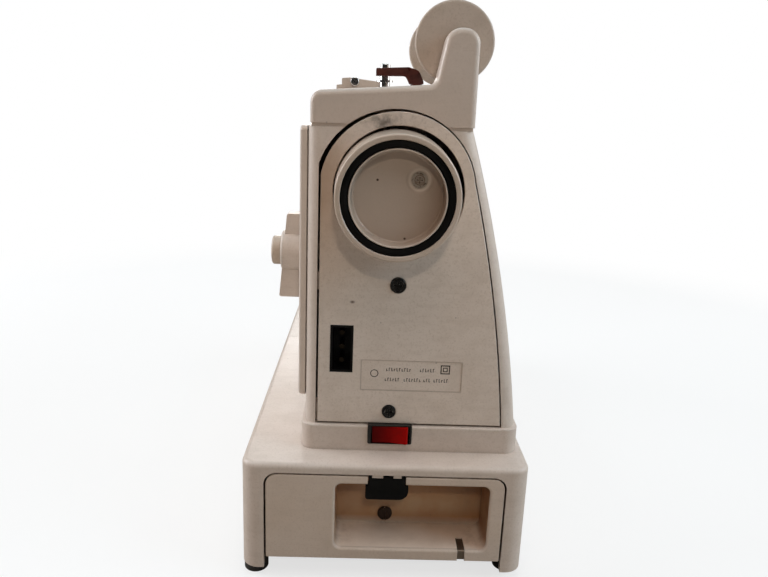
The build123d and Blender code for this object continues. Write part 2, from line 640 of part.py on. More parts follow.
def socket_pins():
    pins = []
    y = sum(SOCKET_Y) / 2
    for z in (138.5, 147.5, 156.5):
        pins.append(rod("X", (y, z), 1.6, COLUMN_RIGHT - 16, COLUMN_RIGHT - 5))
    return pins


def switch_bezel():
    outline = rectangle(SWITCH_Y[0] + 0.1, SWITCH_Y[1] - 0.1, SWITCH_Z[0] + 0.1, SWITCH_Z[1])
    bezel = prism("X", outline, [1] * 4, PLINTH_RIGHT - 8, PLINTH_RIGHT + 1.2)
    bezel -= block(PLINTH_RIGHT - 6, PLINTH_RIGHT + 2, -10, 14.9, 85.6, 97.5)
    return bezel - rod("Z", ROCKER_PIVOT, 0.8 + FIT, SWITCH_Z[0] + 0.25, SWITCH_Z[1] - 0.2)


def switch_rocker():
    """Rocker that pivots about a vertical pin; its rear half stands out."""
    x0 = PLINTH_RIGHT - 3.4
    outline = [(x0, -9.4), (x0 + 4.4, -9.3), (x0 + 3.9, 2), (x0 + 6.9, 13.4), (x0, 13.8)]
    low = 85.9
    high = 97.2
    rocker = prism("Z", outline, [0, 0.6, 16, 1.4, 0], low, high)
    rocker = fillet(edges_at(rocker, "Z", low) + edges_at(rocker, "Z", high), 0.4)
    return rocker + rod("Z", ROCKER_PIVOT, 0.8, SWITCH_Z[0] + 0.35, SWITCH_Z[1] - 0.3)


# ---------------------------------------------------------------- handwheel and main shaft


def handwheel_rim():
    profile = [
        (WHEEL_BACK, 32.2),
        (WHEEL_BACK, WHEEL_BACK_RADIUS),
        (WHEEL_FRONT - 1.2, WHEEL_RADIUS),
        (WHEEL_FRONT - 0.7, WHEEL_RADIUS - 0.1),
        (WHEEL_FRONT - 0.3, WHEEL_RADIUS - 0.4),
        (WHEEL_FRONT - 0.05, WHEEL_RADIUS - 0.8),
        (WHEEL_FRONT, WHEEL_RADIUS - 1.3),
        (WHEEL_FRONT, 32.6),
        (WHEEL_FRONT - 0.4, 32.2),
        (190, 32.2),
        (190, 11),
        (190, SHAFT_RADIUS),
        (178, SHAFT_RADIUS),
        (178, 11),
        (186, 11),
        (186, 32.2),
    ]
    return spun_on_shaft(profile)


def handwheel_ring():
    profile = [
        (190, RING_INNER),
        (190, 32.15),
        (WHEEL_FRONT - 1.6, 32.15),
        (WHEEL_FRONT - 0.8, 31.6),
        (WHEEL_FRONT - 0.6, 30),
        (WHEEL_FRONT - 0.9, 28.6),
        (WHEEL_FRONT - 1.7, RING_INNER),
    ]
    return spun_on_shaft(profile)


def clutch_knob():
    back = 190.4
    lip = WHEEL_FRONT - 0.9
    floor = 199.0
    profile = [
        (back, SHAFT_RADIUS + 3.5),
        (back, 4 + FIT),
        (196.8, 4 + FIT),
        (196.8, 0),
        (floor, 0),
        (floor, 25),
        (floor + 0.6, 25.8),
        (lip - 0.8, 26.7),
        (lip, 27),
        (lip, 27.4),
        (lip - 0.4, CLUTCH_RADIUS),
        (back, CLUTCH_RADIUS),
        (back, 24),
        (196.2, 23.4),
        (196.2, SHAFT_RADIUS + 3.5),
    ]
    knob = spun_on_shaft(profile)
    dimple = (DIMPLE_Y, DIMPLE_Z)
    knob -= cone("X", dimple, 5.6, 7.8, floor - 1.2, floor + 0.01)
    knob += rod("X", dimple, 6.2, 192.4, floor - 1.8)
    knob -= rod("X", dimple, 4.85, floor - 1.8, floor + 1)
    knob -= rod("X", dimple, 1.5, 193.4, floor)
    return knob


def clutch_screw():
    dimple = (DIMPLE_Y, DIMPLE_Z)
    seat = 197.2
    screw = rod("X", dimple, 4.5, seat, seat + 0.8)
    screw -= tube("X", dimple, 3.9, 3.3, seat + 0.4, seat + 1)
    screw += rod("X", dimple, 2.4, seat + 0.7, seat + 1.3)
    screw += rod("X", dimple, 1.4, 193.5, seat + 0.1)
    screw -= block(seat + 0.6, seat + 2, DIMPLE_Y - 1.9, DIMPLE_Y + 1.9, DIMPLE_Z - 0.4, DIMPLE_Z + 0.4)
    screw -= block(seat + 0.6, seat + 2, DIMPLE_Y - 0.4, DIMPLE_Y + 0.4, DIMPLE_Z - 1.9, DIMPLE_Z + 1.9)
    return screw


def main_shaft():
    shaft = rod("X", (0, SHAFT_Z), SHAFT_RADIUS, -146, 190)
    return shaft + rod("X", (0, SHAFT_Z), 4, 189, 196.4)


def pulley(radius, x0, x1, bore, centre, hub):
    """Spoked-out pulley: rim, thin web and hub."""
    wheel = tube("X", centre, radius, bore, x0, x1)
    for low, high in ((x0 - 1, x0 + 2.2), (x1 - 2.2, x1 + 1)):
        wheel -= tube("X", centre, radius - 3, hub, low, high)
    return wheel


def shaft_pulleys():
    """Spoked belt pulley and the smaller timing pulley on the main shaft."""
    wheel = pulley(BELT_PULLEY_RADIUS, BELT_X[0], BELT_X[1], SHAFT_RADIUS, (0, SHAFT_Z), 10)
    for step in range(6):
        angle = math.radians(60 * step)
        hole = (19 * math.cos(angle), SHAFT_Z + 19 * math.sin(angle))
        wheel -= rod("X", hole, 5, BELT_X[0] - 1, BELT_X[1] + 1)
    timing = pulley(UPPER_TIMING_RADIUS, TIMING_X[0], TIMING_X[1], SHAFT_RADIUS, (0, SHAFT_Z), 9)
    return [wheel, timing]


def crank_disc():
    disc = tube("X", (0, SHAFT_Z), 22, SHAFT_RADIUS, -146, -138)
    disc -= prism("X", rectangle(-30, 30, SHAFT_Z + 10, SHAFT_Z + 30), [0] * 4, -147, -142)
    disc += rod("X", (0, SHAFT_Z + 15), 3, -147.4, -140)
    return disc


def drive_belt():
    return belt(
        BELT_PULLEY_RADIUS + BELT_GAP,
        (0, SHAFT_Z),
        MOTOR_PULLEY_RADIUS + BELT_GAP,
        (MOTOR_Y, MOTOR_Z),
        2.4,
        BELT_X[0] + 1,
        BELT_X[1] - 1,
    )


def timing_belt():
    return belt(
        UPPER_TIMING_RADIUS + BELT_GAP,
        (0, SHAFT_Z),
        LOWER_TIMING_RADIUS + BELT_GAP,
        (0, LOWER_SHAFT_Z),
        2,
        TIMING_X[0] + 0.5,
        TIMING_X[1] - 0.5,
    )


# ---------------------------------------------------------------- motor and lower shaft


def motor_body():
    centre = (MOTOR_Y, MOTOR_Z)
    motor = rod("X", centre, 28, 98, 152)
    motor = fillet(motor.edges().filter_by(GeomType.CIRCLE), 3)
    motor += rod("X", centre, 9, 151, 162)
    motor -= rod("X", centre, 3 + FIT, 120, 163)
    for step in range(10):
        angle = math.radians(36 * step)
        slot = (MOTOR_Y + 28 * math.cos(angle), MOTOR_Z + 28 * math.sin(angle))
        motor -= rod("X", slot, 2, 108, 142)
    return motor


def motor_pulley():
    centre = (MOTOR_Y, MOTOR_Z)
    boss = rod("X", centre, 3, 121, BELT_X[1] + 1)
    return boss + rod("X", centre, MOTOR_PULLEY_RADIUS, BELT_X[0], BELT_X[1])


def lower_shaft():
    centre = (0, LOWER_SHAFT_Z)
    shaft = rod("X", centre, LOWER_SHAFT_RADIUS, -164, TIMING_X[1] + 2)
    return shaft + rod("X", centre, LOWER_TIMING_RADIUS, TIMING_X[0], TIMING_X[1])


def rotary_hook():
    centre = (0, LOWER_SHAFT_Z)
    hook = tube("X", centre, 13, 11.2, -180, -163)
    hook += tube("X", centre, 13, LOWER_SHAFT_RADIUS, -165, -160)
    return hook - block(-181, -172, -14, 0, LOWER_SHAFT_Z + 2, LOWER_SHAFT_Z + 9)


def bobbin_case():
    centre = (0, LOWER_SHAFT_Z)
    case = tube("X", centre, 10.8, 10.1, -182, -168)
    case += tube("X", centre, 10.8, 2, -184, -182)
    case += rod("X", centre, 2.4, -184, -169)
    case += block(-186, -184, -8, 8, LOWER_SHAFT_Z - 2, LOWER_SHAFT_Z + 2)
    return case + block(-184, -182, -2, 2, LOWER_SHAFT_Z + 8, BED_TOP - 3.5)


def bobbin():
    centre = (0, LOWER_SHAFT_Z)
    reel = tube("X", centre, 9.7, 2.4 + FIT, -181, -169.6)
    return reel - tube("X", centre, 11, 5, -180, -170.6)


# ---------------------------------------------------------------- needle, take-up and presser parts


def needle_bar():
    bar = rod("Z", (NEEDLE_X, 0), 3.5, 136, 274)
    return bar - rod("Z", (NEEDLE_X, 0), 1.02, 135, 146)


def needle_clamp():
    clamp = tube("Z", (NEEDLE_X, 0), 6, 3.5, 136, 147)
    clamp += rod("X", (0, 141), 1.8, NEEDLE_X + 4, NEEDLE_X + 16)
    return clamp + rod("X", (0, 141), 4, NEEDLE_X + 11, NEEDLE_X + 17)


def needle():
    shape = rod("Z", (NEEDLE_X, 0), 1, 122, 145.5)
    shape += cone("Z", (NEEDLE_X, 0), 0.5, 1, 119, 122)
    shape += rod("Z", (NEEDLE_X, 0), 0.5, 101, 119)
    return shape + cone("Z", (NEEDLE_X, 0), 0.1, 0.5, 96, 101)


def needle_bar_link():
    """Connecting rod; its big end hangs clear of the crank pin."""
    link = tube("Z", (NEEDLE_X, 0), 6.5, 3.5, 214, 222)
    link += block(-152, -149, -4, 4, 214, SHAFT_Z + 15)
    link += rod("X", (0, SHAFT_Z + 15), 6.5, -152, -149)
    return link


def take_up_lever():
    """Lever on a pivot pin; its eye stands out of the head's front slot."""
    hub = [(-34, 236), (-26, 228), (-26, 241)]
    arm = [(-50, 261), (-66, 270), (-70, 267), (-66, 263), (-50, 254)]
    outline = hub + arm
    lever = prism("X", outline, [2, 2, 2, 0, 1, 1, 1, 0], -150.2, -147.8)
    lever += rod("X", TAKE_UP_PIVOT, 5, -152, -146)
    lever -= rod("X", (-66.4, 266.6), 1, -153, -145)
    return lever - rod("X", TAKE_UP_PIVOT, 2 + FIT, -153, -145)


def presser_bar():
    bar = rod("Z", (NEEDLE_X, PRESSER_Y), 3, 106, 250)
    return bar + tube("Z", (NEEDLE_X, PRESSER_Y), 5.5, 3, 210, 216)


def presser_foot():
    foot = block(NEEDLE_X - 9, NEEDLE_X + 9, -12, 14, 81.2, 83.4)
    toe = [(-12, 83), (-12, 81.2), (-17, 85.6), (-17, 87)]
    foot += prism("X", toe, [0] * 4, NEEDLE_X - 9, NEEDLE_X + 9)
    foot -= block(NEEDLE_X - 2.5, NEEDLE_X + 2.5, -18, 2.5, 80, 90)
    foot += prism("X", [(6, 83), (14, 83), (19, 106), (19, 118), (11, 118), (11, 104)], [0] * 6, -162, -154)
    foot -= rod("Z", (NEEDLE_X, PRESSER_Y), 3, 105.9, 119)
    foot += rod("X", (15, 111), 1.6, NEEDLE_X + 3.5, NEEDLE_X + 10)
    return foot + rod("X", (15, 111), 4, NEEDLE_X + 8, NEEDLE_X + 12)


def presser_lifter():
    lifter = rod("Y", LIFTER_PIVOT, 4, 36, 52)
    lifter += prism("Y", [(-154, 186), (-146, 186), (-144, 140), (-156, 140)], [2, 2, 5, 5], 47, 51)
    return lifter


def tension_discs():
    discs = [rod("Y", (TENSION_X, TENSION_Z), 3, -69, BODY_FRONT + 6)]
    for y in (-57, -55.4):
        discs.append(tube("Y", (TENSION_X, TENSION_Z), 11, 3.02, y, y + 1))
    return discs


def tension_dial():
    centre = (TENSION_X, TENSION_Z)
    dial = rod("Y", centre, 13, -71, -58)
    dial = fillet(edges_at(dial, "Y", -71), 1.5)
    for step in range(24):
        angle = math.radians(15 * step)
        groove = (TENSION_X + 13.4 * math.cos(angle), TENSION_Z + 13.4 * math.sin(angle))
        dial -= rod("Y", groove, 0.9, -69, -57)
    return dial - rod("Y", centre, 3 + FIT, -69.2, -57)


def face_cover():
    """Left end cap of the head, hinged at its rear edge."""
    face = rectangle(BODY_FRONT, BODY_REAR - 0.4, HEAD_BOTTOM, BODY_TOP)
    cap = prism("X", face, [5, 5, 0.5, 0.5], -205, -197.3)
    cap = fillet(edges_at(cap, "X", -205), 2.5)
    inner = rectangle(BODY_FRONT + 3, BODY_REAR - 10, HEAD_BOTTOM + 3, BODY_TOP - 3)
    cap -= prism("X", inner, [3, 3, 0.5, 0.5], -202, -196)
    for z in HINGE_Z:
        cap += block(-200, -197.8, BODY_REAR - 3, FACE_HINGE[1], z, z + 12)
        cap += rod("Z", FACE_HINGE, 2.2, z, z + 12)
        cap -= rod("Z", FACE_HINGE, 1 + FIT, z - 1, z + 13)
    return cap


def lamp_holder():
    holder = tube("Z", (-180, -25), 9, 7.2, 205, 228)
    holder += rod("Z", (-180, -25), 9, 226, 230)
    return holder + block(-181.5, -170, -25, -14, 229, 232)


def lamp_bulb():
    bulb = rod("Z", (-180, -25), 7, 207, 225.8)
    glass = rod("Z", (-180, -25), 7.5, 184, 204.6) + rod("Z", (-180, -25), 6.8, 204, 208)
    return bulb + fillet(edges_at(glass, "Z", 184), 7)


# ---------------------------------------------------------------- top of the machine


def spool_pin():
    return rod("X", (SPOOL_Y, SPOOL_Z), 2, 86, COLUMN_RIGHT - 4)


def spool_disc():
    disc = tube("X", (SPOOL_Y, SPOOL_Z), SPOOL_DISC_RADIUS, 2.02, 161.6, 164.8)
    disc = fillet(disc.edges().filter_by(GeomType.CIRCLE).filter_by(lambda edge: edge.radius > 20), 1.4)
    return disc + tube("X", (SPOOL_Y, SPOOL_Z), 5, 2.02, 164.5, COLUMN_RIGHT - TOWER_THICKNESS)


def spool_cap():
    cap = tube("X", (SPOOL_Y, SPOOL_Z), SPOOL_DISC_RADIUS, 2.05, 94.6, 97.6)
    cap = fillet(cap.edges().filter_by(GeomType.CIRCLE).filter_by(lambda edge: edge.radius > 20), 1.3)
    return cap + tube("X", (SPOOL_Y, SPOOL_Z), 5.5, 2.05, 97, 107)


def winder_spindle():
    centre = (WINDER_X, WINDER_Y)
    spindle = rod("Z", centre, 3.1, 296, 319.4)
    spindle = fillet(edges_at(spindle, "Z", 319.4), 0.8)
    spindle += rod("Z", centre, 5, 308.6, 309.8)
    return spindle + rod("Z", centre, 10, 296, 299.5)


def winder_lever():
    """Bent brown stop lever beside the winder spindle, with a round stud that turns in the cover."""
    outline = [
        (-14.3, 311.6),
        (3.4, 312),
        (5.7, 307.6),
        (14.1, 307.9),
        (14.1, 309.4),
        (11.2, 315.6),
        (5, 317.3),
        (-14.3, 316.1),
    ]
    lever = prism("X", outline, [0.6, 2.4, 0, 0, 3, 5, 2.5, 0.8], LEVER_X - 2.4, LEVER_X + 2.4)
    for side in (LEVER_X - 2.4, LEVER_X + 2.4):
        lever = fillet(edges_at(lever, "X", side), 0.35)
    return lever + rod("Z", (LEVER_X, LEVER_Y), 3.5, 299, 307.8)


def winder_guide():
    """Thread guide for bobbin winding: a tapered saddle beside the spindle."""
    outline = [
        (-39.4, 302.8),
        (-9, 305.25),
        (-9.2, 306.9),
        (-12, 309.4),
        (-31, 311.4),
        (-36, 310.9),
        (-36, 307),
        (-39.4, 306.6),
    ]
    guide = prism("X", outline, [0, 0, 0, 2, 2, 0.8, 0, 0.4], 108, 122)
    return guide


def winder_guide_disc():
    disc = rod("X", (-27.6, 308.9), 2.8, 122.6, 124)
    disc = fillet(edges_at(disc, "X", 124), 0.6)
    disc += rod("X", (-27.6, 308.9), 1.3, 123.5, 124.8)
    return disc + rod("X", (-27.6, 308.9), 1.4, 122, 122.7)


# ---------------------------------------------------------------- front controls


def stitch_length_knob():
    centre = (KNOB_X, KNOB_Z)
    knob = rod("Y", centre, KNOB_RADIUS, -73.3, KNOB_BACK)
    knob = fillet(edges_at(knob, "Y", -73.3), 2)
    wing_bottom = KNOB_Z - 30.8
    wing_top = KNOB_Z + 25.5
    wing = [(KNOB_BACK, wing_bottom), (-74.6, wing_bottom), (-69.5, wing_top), (KNOB_BACK, wing_top)]
    knob += prism("X", wing, [1, 1.4, 1.4, 1], KNOB_X - 6, KNOB_X + 6)
    knob += rod("Y", centre, 5.6, -61, -44)
    knob -= rod("Y", centre, 10, -76, -66)
    return knob - rod("Y", centre, 3.4, -67, -43)


def reverse_button():
    centre = (KNOB_X, KNOB_Z)
    cap = rod("Y", centre, 9.6, -79.6, -72)
    cap = fillet(edges_at(cap, "Y", -79.6), 1.8)
    return cap + rod("Y", centre, 3.3, -73, -42)


def stitch_width_dial():
    centre = (DIAL_X, DIAL_Z)
    dial = rod("Y", centre, 17, -67, KNOB_BACK)
    dial = fillet(edges_at(dial, "Y", -67), 1)
    dial += block(DIAL_X - 3, DIAL_X + 3, -69.5, -66, DIAL_Z - 15, DIAL_Z + 15)
    return dial + rod("Y", centre, 5.6, -61, -44)


# ---------------------------------------------------------------- accessory drawer


def accessory_drawer():
    panel = rectangle(-DRAWER_HALF, DRAWER_HALF, DRAWER_BOTTOM, DRAWER_TOP)
    drawer = prism("X", panel, [1, 1, 7, 7], BED_RIGHT - 5, BED_RIGHT)
    drawer = fillet(edges_at(drawer, "X", BED_RIGHT), 0.5)
    drawer += block(DRAWER_LEFT, BED_RIGHT - 4.5, -72, 72, DRAWER_BOTTOM, 62)
    drawer -= block(DRAWER_LEFT + 2.5, BED_RIGHT - 7.5, -69.5, 69.5, DRAWER_BOTTOM + 2.5, 80)
    niche_back = BED_RIGHT - NICHE_DEPTH
    wall = 2.5
    housing = block(
        niche_back - wall,
        BED_RIGHT - 4.5,
        NICHE_Y[0] - wall,
        NICHE_Y[1] + wall,
        DRAWER_BOTTOM + 1,
        NICHE_Z[1] + wall,
    )
    niche_corners = rectangle(NICHE_Y[0], NICHE_Y[1], NICHE_Z[0], NICHE_Z[1])
    drawer = drawer + housing - prism("X", niche_corners, [4.4] * 4, niche_back, BED_RIGHT + 1)
    face_edges = edges_at(drawer, "X", BED_RIGHT)
    mouth = [edge for edge in face_edges if DRAWER_BOTTOM + 4 < edge.center().Z < DRAWER_TOP - 4]
    mouth = [edge for edge in mouth if abs(edge.center().Y) < DRAWER_HALF - 4]
    drawer = fillet(mouth, 1.6)
    drawer -= block(BED_RIGHT - 9, BED_RIGHT + 1, -11.2, 12.6, NICHE_Z[1] - 1.2, DRAWER_TOP + 1)
    drawer -= block(BED_RIGHT - 14, BED_RIGHT + 1, 47.5, 52.2, DRAWER_BOTTOM - 1, NICHE_Z[0] + 1)
    return drawer


def drawer_latch():
    upper = block(BED_RIGHT - 8, BED_RIGHT - 0.6, -10.7, 12.1, 64, LATCH_TEETH_BOTTOM - 0.5)
    for y0, y1 in ((-10.7, -9.1), (-1.1, 4.1), (10.2, 12.1)):
        upper += block(BED_RIGHT - 8, BED_RIGHT - 0.6, y0, y1, 70, 72.7)
    lower = prism(
        "X",
        [(-12.5, 56.5), (14.3, 56.5), (14.3, 66), (-12.5, 66)],
        [2, 6, 0.5, 0.5],
        BED_RIGHT - 7,
        BED_RIGHT - 1.5,
    )
    return upper + lower


def niche_screw():
    seat = BED_RIGHT - NICHE_DEPTH
    screw = rod("X", (1.3, 29.4), 4.9, seat, seat + 1.8)
    screw = fillet(edges_at(screw, "X", seat + 1.8), 1)
    return screw - block(seat + 0.9, seat + 3, 1.3 - 0.6, 1.3 + 0.6, 25, 34)


# ---------------------------------------------------------------- assembly

NODES = {
    "base_shell": base_shell,
    "bottom_plate": bottom_plate,
    "rubber_feet": rubber_feet,
    "free_arm": free_arm,
    "needle_plate": needle_plate,
    "feed_dog": feed_dog,
    "extension_table": extension_table,
    "bobbin_flap": bobbin_flap,
    "arm_body": arm_body,
    "arm_frame": arm_frame,
    "shaft_bushes": shaft_bushes,
    "top_cover": top_cover,
    "control_panel": control_panel,
    "end_cover": end_cover,
    "machine_screws": machine_screws,
    "socket_block": socket_block,
    "socket_pins": socket_pins,
    "switch_bezel": switch_bezel,
    "switch_rocker": switch_rocker,
    "handwheel_rim": handwheel_rim,
    "handwheel_ring": handwheel_ring,
    "clutch_knob": clutch_knob,
    "clutch_screw": clutch_screw,
    "main_shaft": main_shaft,
    "shaft_pulleys": shaft_pulleys,
    "crank_disc": crank_disc,
    "drive_belt": drive_belt,
    "timing_belt": timing_belt,
    "motor_body": motor_body,
    "motor_pulley": motor_pulley,
    "lower_shaft": lower_shaft,
    "rotary_hook": rotary_hook,
    "bobbin_case": bobbin_case,
    "bobbin": bobbin,
    "needle_bar": needle_bar,
    "needle_clamp": needle_clamp,
    "needle": needle,
    "needle_bar_link": needle_bar_link,
    "take_up_lever": take_up_lever,
    "presser_bar": presser_bar,
    "presser_foot": presser_foot,
    "presser_lifter": presser_lifter,
    "tension_discs": tension_discs,
    "tension_dial": tension_dial,
    "face_cover": face_cover,
    "lamp_holder": lamp_holder,
    "lamp_bulb": lamp_bulb,
    "spool_pin": spool_pin,
    "spool_disc": spool_disc,
    "spool_cap": spool_cap,
    "winder_spindle": winder_spindle,
    "winder_lever": winder_lever,
    "winder_guide": winder_guide,
    "winder_guide_disc": winder_guide_disc,
    "stitch_length_knob": stitch_length_knob,
    "reverse_button": reverse_button,
    "stitch_width_dial": stitch_width_dial,
    "accessory_drawer": accessory_drawer,
    "drawer_latch": drawer_latch,
    "niche_screw": niche_screw,
}


def main():
    os.makedirs("parts", exist_ok=True)
    for name, make in NODES.items():
        shape = make()
        if isinstance(shape, list):
            shape = Compound(children=shape)
        export_step(shape, f"parts/{name}.step")


main()
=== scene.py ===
import json
import math

import bmesh
import bpy
from mathutils import Matrix, Vector


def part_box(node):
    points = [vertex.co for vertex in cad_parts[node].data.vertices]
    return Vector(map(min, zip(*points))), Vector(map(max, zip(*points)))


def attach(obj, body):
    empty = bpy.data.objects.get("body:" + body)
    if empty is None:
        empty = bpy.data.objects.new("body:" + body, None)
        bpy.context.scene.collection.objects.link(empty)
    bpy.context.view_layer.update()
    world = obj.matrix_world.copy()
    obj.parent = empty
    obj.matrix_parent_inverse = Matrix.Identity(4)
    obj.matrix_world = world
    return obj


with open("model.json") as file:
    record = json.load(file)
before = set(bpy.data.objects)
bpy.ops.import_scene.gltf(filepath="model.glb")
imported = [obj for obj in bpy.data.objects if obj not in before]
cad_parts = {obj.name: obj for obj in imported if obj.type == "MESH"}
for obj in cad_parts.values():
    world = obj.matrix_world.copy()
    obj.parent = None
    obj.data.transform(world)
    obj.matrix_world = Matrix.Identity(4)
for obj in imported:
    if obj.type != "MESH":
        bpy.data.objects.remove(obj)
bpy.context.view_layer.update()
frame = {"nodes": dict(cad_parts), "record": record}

NODES = frame["nodes"]
MM = 0.001

# ---------------------------------------------------------------- node helpers


class Nodes:
    """Builds the node tree of one material."""

    def __init__(self, name):
        self.material = bpy.data.materials.new(name)
        self.material.use_nodes = True
        self.tree = self.material.node_tree
        self.shader = self.tree.nodes["Principled BSDF"]
        self.output = self.tree.nodes["Material Output"]
        self.place = None

    def new(self, kind, **settings):
        node = self.tree.nodes.new(kind)
        for key, value in settings.items():
            setattr(node, key, value)
        return node

    def link(self, source, target):
        self.tree.links.new(source, target)

    def set(self, socket, value):
        """Write a constant on the shader's own socket."""
        self.shader.inputs[socket].default_value = value

    def coords(self):
        if self.place is None:
            self.place = self.new("ShaderNodeTexCoord").outputs["Object"]
        return self.place

    def axes(self):
        split = self.new("ShaderNodeSeparateXYZ")
        self.link(self.coords(), split.inputs[0])
        return split.outputs

    def put(self, value, socket):
        """Link a socket, or write a plain number or colour."""
        if isinstance(value, bpy.types.NodeSocket):
            self.link(value, socket)
        else:
            socket.default_value = value

    def stretched(self, stretch):
        scaled = self.new("ShaderNodeVectorMath", operation="MULTIPLY")
        self.link(self.coords(), scaled.inputs[0])
        scaled.inputs[1].default_value = stretch
        return scaled.outputs[0]

    def noise(self, scale, detail=3, roughness=0.55, distortion=0, stretch=None):
        """Noise from 0 to 1; scale is in waves per metre, stretch scales each axis first."""
        node = self.new("ShaderNodeTexNoise")
        node.inputs["Scale"].default_value = scale
        node.inputs["Detail"].default_value = detail
        node.inputs["Roughness"].default_value = roughness
        node.inputs["Distortion"].default_value = distortion
        self.link(self.stretched(stretch) if stretch else self.coords(), node.inputs["Vector"])
        return node.outputs["Fac"]

    def cells(self, scale):
        node = self.new("ShaderNodeTexVoronoi", feature="F1")
        node.inputs["Scale"].default_value = scale
        self.link(self.coords(), node.inputs["Vector"])
        return node.outputs["Distance"]

    def smooth(self, value, low, high):
        """0 below low and 1 above high, or the other way round where high is below low."""
        node = self.new("ShaderNodeMapRange", interpolation_type="SMOOTHSTEP")
        node.inputs["From Min"].default_value = low
        node.inputs["From Max"].default_value = high
        self.put(value, node.inputs["Value"])
        return node.outputs["Result"]

    def span(self, value, low, high, to_low, to_high):
        """Straight-line map from low..high to to_low..to_high, held at both ends."""
        node = self.new("ShaderNodeMapRange")
        for socket, number in zip(node.inputs[1:5], (low, high, to_low, to_high)):
            socket.default_value = number
        self.put(value, node.inputs["Value"])
        return node.outputs["Result"]

    def maths(self, operation, first, second=0.0):
        node = self.new("ShaderNodeMath", operation=operation)
        self.put(first, node.inputs[0])
        self.put(second, node.inputs[1])
        return node.outputs[0]

    def times(self, *values):
        result = values[0]
        for value in values[1:]:
            result = self.maths("MULTIPLY", result, value)
        return result

    def mix(self, factor, first, second):
        node = self.new("ShaderNodeMix", data_type="RGBA")
        self.put(factor, node.inputs[0])
        for value, socket in ((first, node.inputs[6]), (second, node.inputs[7])):
            self.put((*value, 1) if isinstance(value, tuple) else value, socket)
        return node.outputs[2]

    def inside(self, low, high, soft):
        """1 inside a box given by two corners, falling to 0 over a soft border."""
        edges = []
        for axis, below, above in zip(self.axes(), low, high):
            edges.append(self.smooth(axis, below - soft, below + soft))
            edges.append(self.smooth(axis, above + soft, above - soft))
        return self.times(*edges)

    def ball(self, centre, radius, squeeze=(1, 1, 1)):
        """1 at a centre, falling to 0 at a radius; squeeze below 1 makes it longer along an axis."""
        offset = self.new("ShaderNodeVectorMath", operation="SUBTRACT")
        self.link(self.coords(), offset.inputs[0])
        offset.inputs[1].default_value = centre
        scaled = self.new("ShaderNodeVectorMath", operation="MULTIPLY")
        self.link(offset.outputs[0], scaled.inputs[0])
        scaled.inputs[1].default_value = squeeze
        length = self.new("ShaderNodeVectorMath", operation="LENGTH")
        self.link(scaled.outputs[0], length.inputs[0])
        return self.smooth(length.outputs["Value"], radius, 0)

    def crevice(self, distance, inward=False):
        """1 in tight corners, or on sharp outward edges where inward is set, and 0 on open faces."""
        node = self.new("ShaderNodeAmbientOcclusion", samples=6, inside=inward)
        node.inputs["Distance"].default_value = distance
        return self.maths("SUBTRACT", 1, node.outputs["AO"])

    def bump(self, height, strength, distance, under=None):
        node = self.new("ShaderNodeBump")
        node.inputs["Strength"].default_value = strength
        node.inputs["Distance"].default_value = distance
        self.link(height, node.inputs["Height"])
        if under is not None:
            self.link(under, node.inputs["Normal"])
        return node.outputs["Normal"]

    def finish(self, colour, roughness, normal=None):
        """Link colour, roughness and normal to the shader."""
        self.put(colour, self.shader.inputs["Base Color"])
        self.put(roughness, self.shader.inputs["Roughness"])
        if normal is not None:
            self.link(normal, self.shader.inputs["Normal"])
        return self.material


# ---------------------------------------------------------------- camera, floor and light

CAMERA_PLACE = Vector((0.59258, -0.01595, 0.29514))
CAMERA_YAW = -0.02619
CAMERA_PITCH = 0.25665
CAMERA_ROLL = 0.03903
CAMERA_LENS = 32.77
SENSOR_WIDTH = 36.0
FLOOR_HALF = 30.0
FLOOR_FADE = (0.3, 1.0)
FLOOR_WHITE = 0.7
FLOOR_BOUNCE = (0.42, 0.37, 0.32)
DIM_LIGHT = (0.03, 0.028, 0.028)
BRIGHT_LIGHT = (0.06, 0.06, 0.065)
DIM_FROM, BRIGHT_FROM = (0.75, -0.35)

# name: place, size, power in watts, colour
LIGHTS = {
    "key": ((1.30, 0.06, 0.92), (0.09, 0.07), 2.15, (1.0, 0.85, 0.70)),
    "ceiling": ((0.75, 0.0, 1.7), (0.9, 0.9), 5.7, (1.0, 0.83, 0.73)),
    "sky_panel": ((-0.3, -0.1, 1.8), (1.4, 1.4), 8.2, (0.60, 0.88, 1.0)),
    "front_panel": ((-0.2, -1.6, 0.8), (1.2, 1.0), 23, (0.96, 0.97, 1.0)),
    "rear_panel": ((-0.2, 1.6, 0.8), (1.2, 1.0), 10.5, (1.0, 0.97, 0.97)),
    "rear_side": ((0.6, 1.4, 1.0), (0.9, 0.8), 9.5, (0.66, 0.87, 1.0)),
    "left_panel": ((-1.9, 0.0, 0.7), (1.0, 0.8), 12, (1.0, 0.96, 0.92)),
}
LIGHT_AIM = Vector((0.1, 0, 0.2))
KEY_AIM = Vector((0.2, 0, 0.2))


def add_camera():
    """Camera that looks along -X at the handwheel end, tipped down and slightly rolled."""
    cos_p, sin_p = math.cos(CAMERA_PITCH), math.sin(CAMERA_PITCH)
    cos_y, sin_y = math.cos(CAMERA_YAW), math.sin(CAMERA_YAW)
    look = Vector((-cos_p * cos_y, -cos_p * sin_y, -sin_p))
    right = Vector((-sin_y, cos_y, 0))
    up = right.cross(look)
    cos_r, sin_r = math.cos(CAMERA_ROLL), math.sin(CAMERA_ROLL)
    right, up = cos_r * right + sin_r * up, cos_r * up - sin_r * right
    data = bpy.data.cameras.new("camera")
    data.lens = CAMERA_LENS
    data.sensor_width = SENSOR_WIDTH
    data.clip_start = 0.01
    camera = bpy.data.objects.new("camera", data)
    axes = Matrix((right, up, -look)).transposed().to_4x4()
    camera.matrix_world = Matrix.Translation(CAMERA_PLACE) @ axes
    bpy.context.scene.collection.objects.link(camera)
    bpy.context.scene.camera = camera


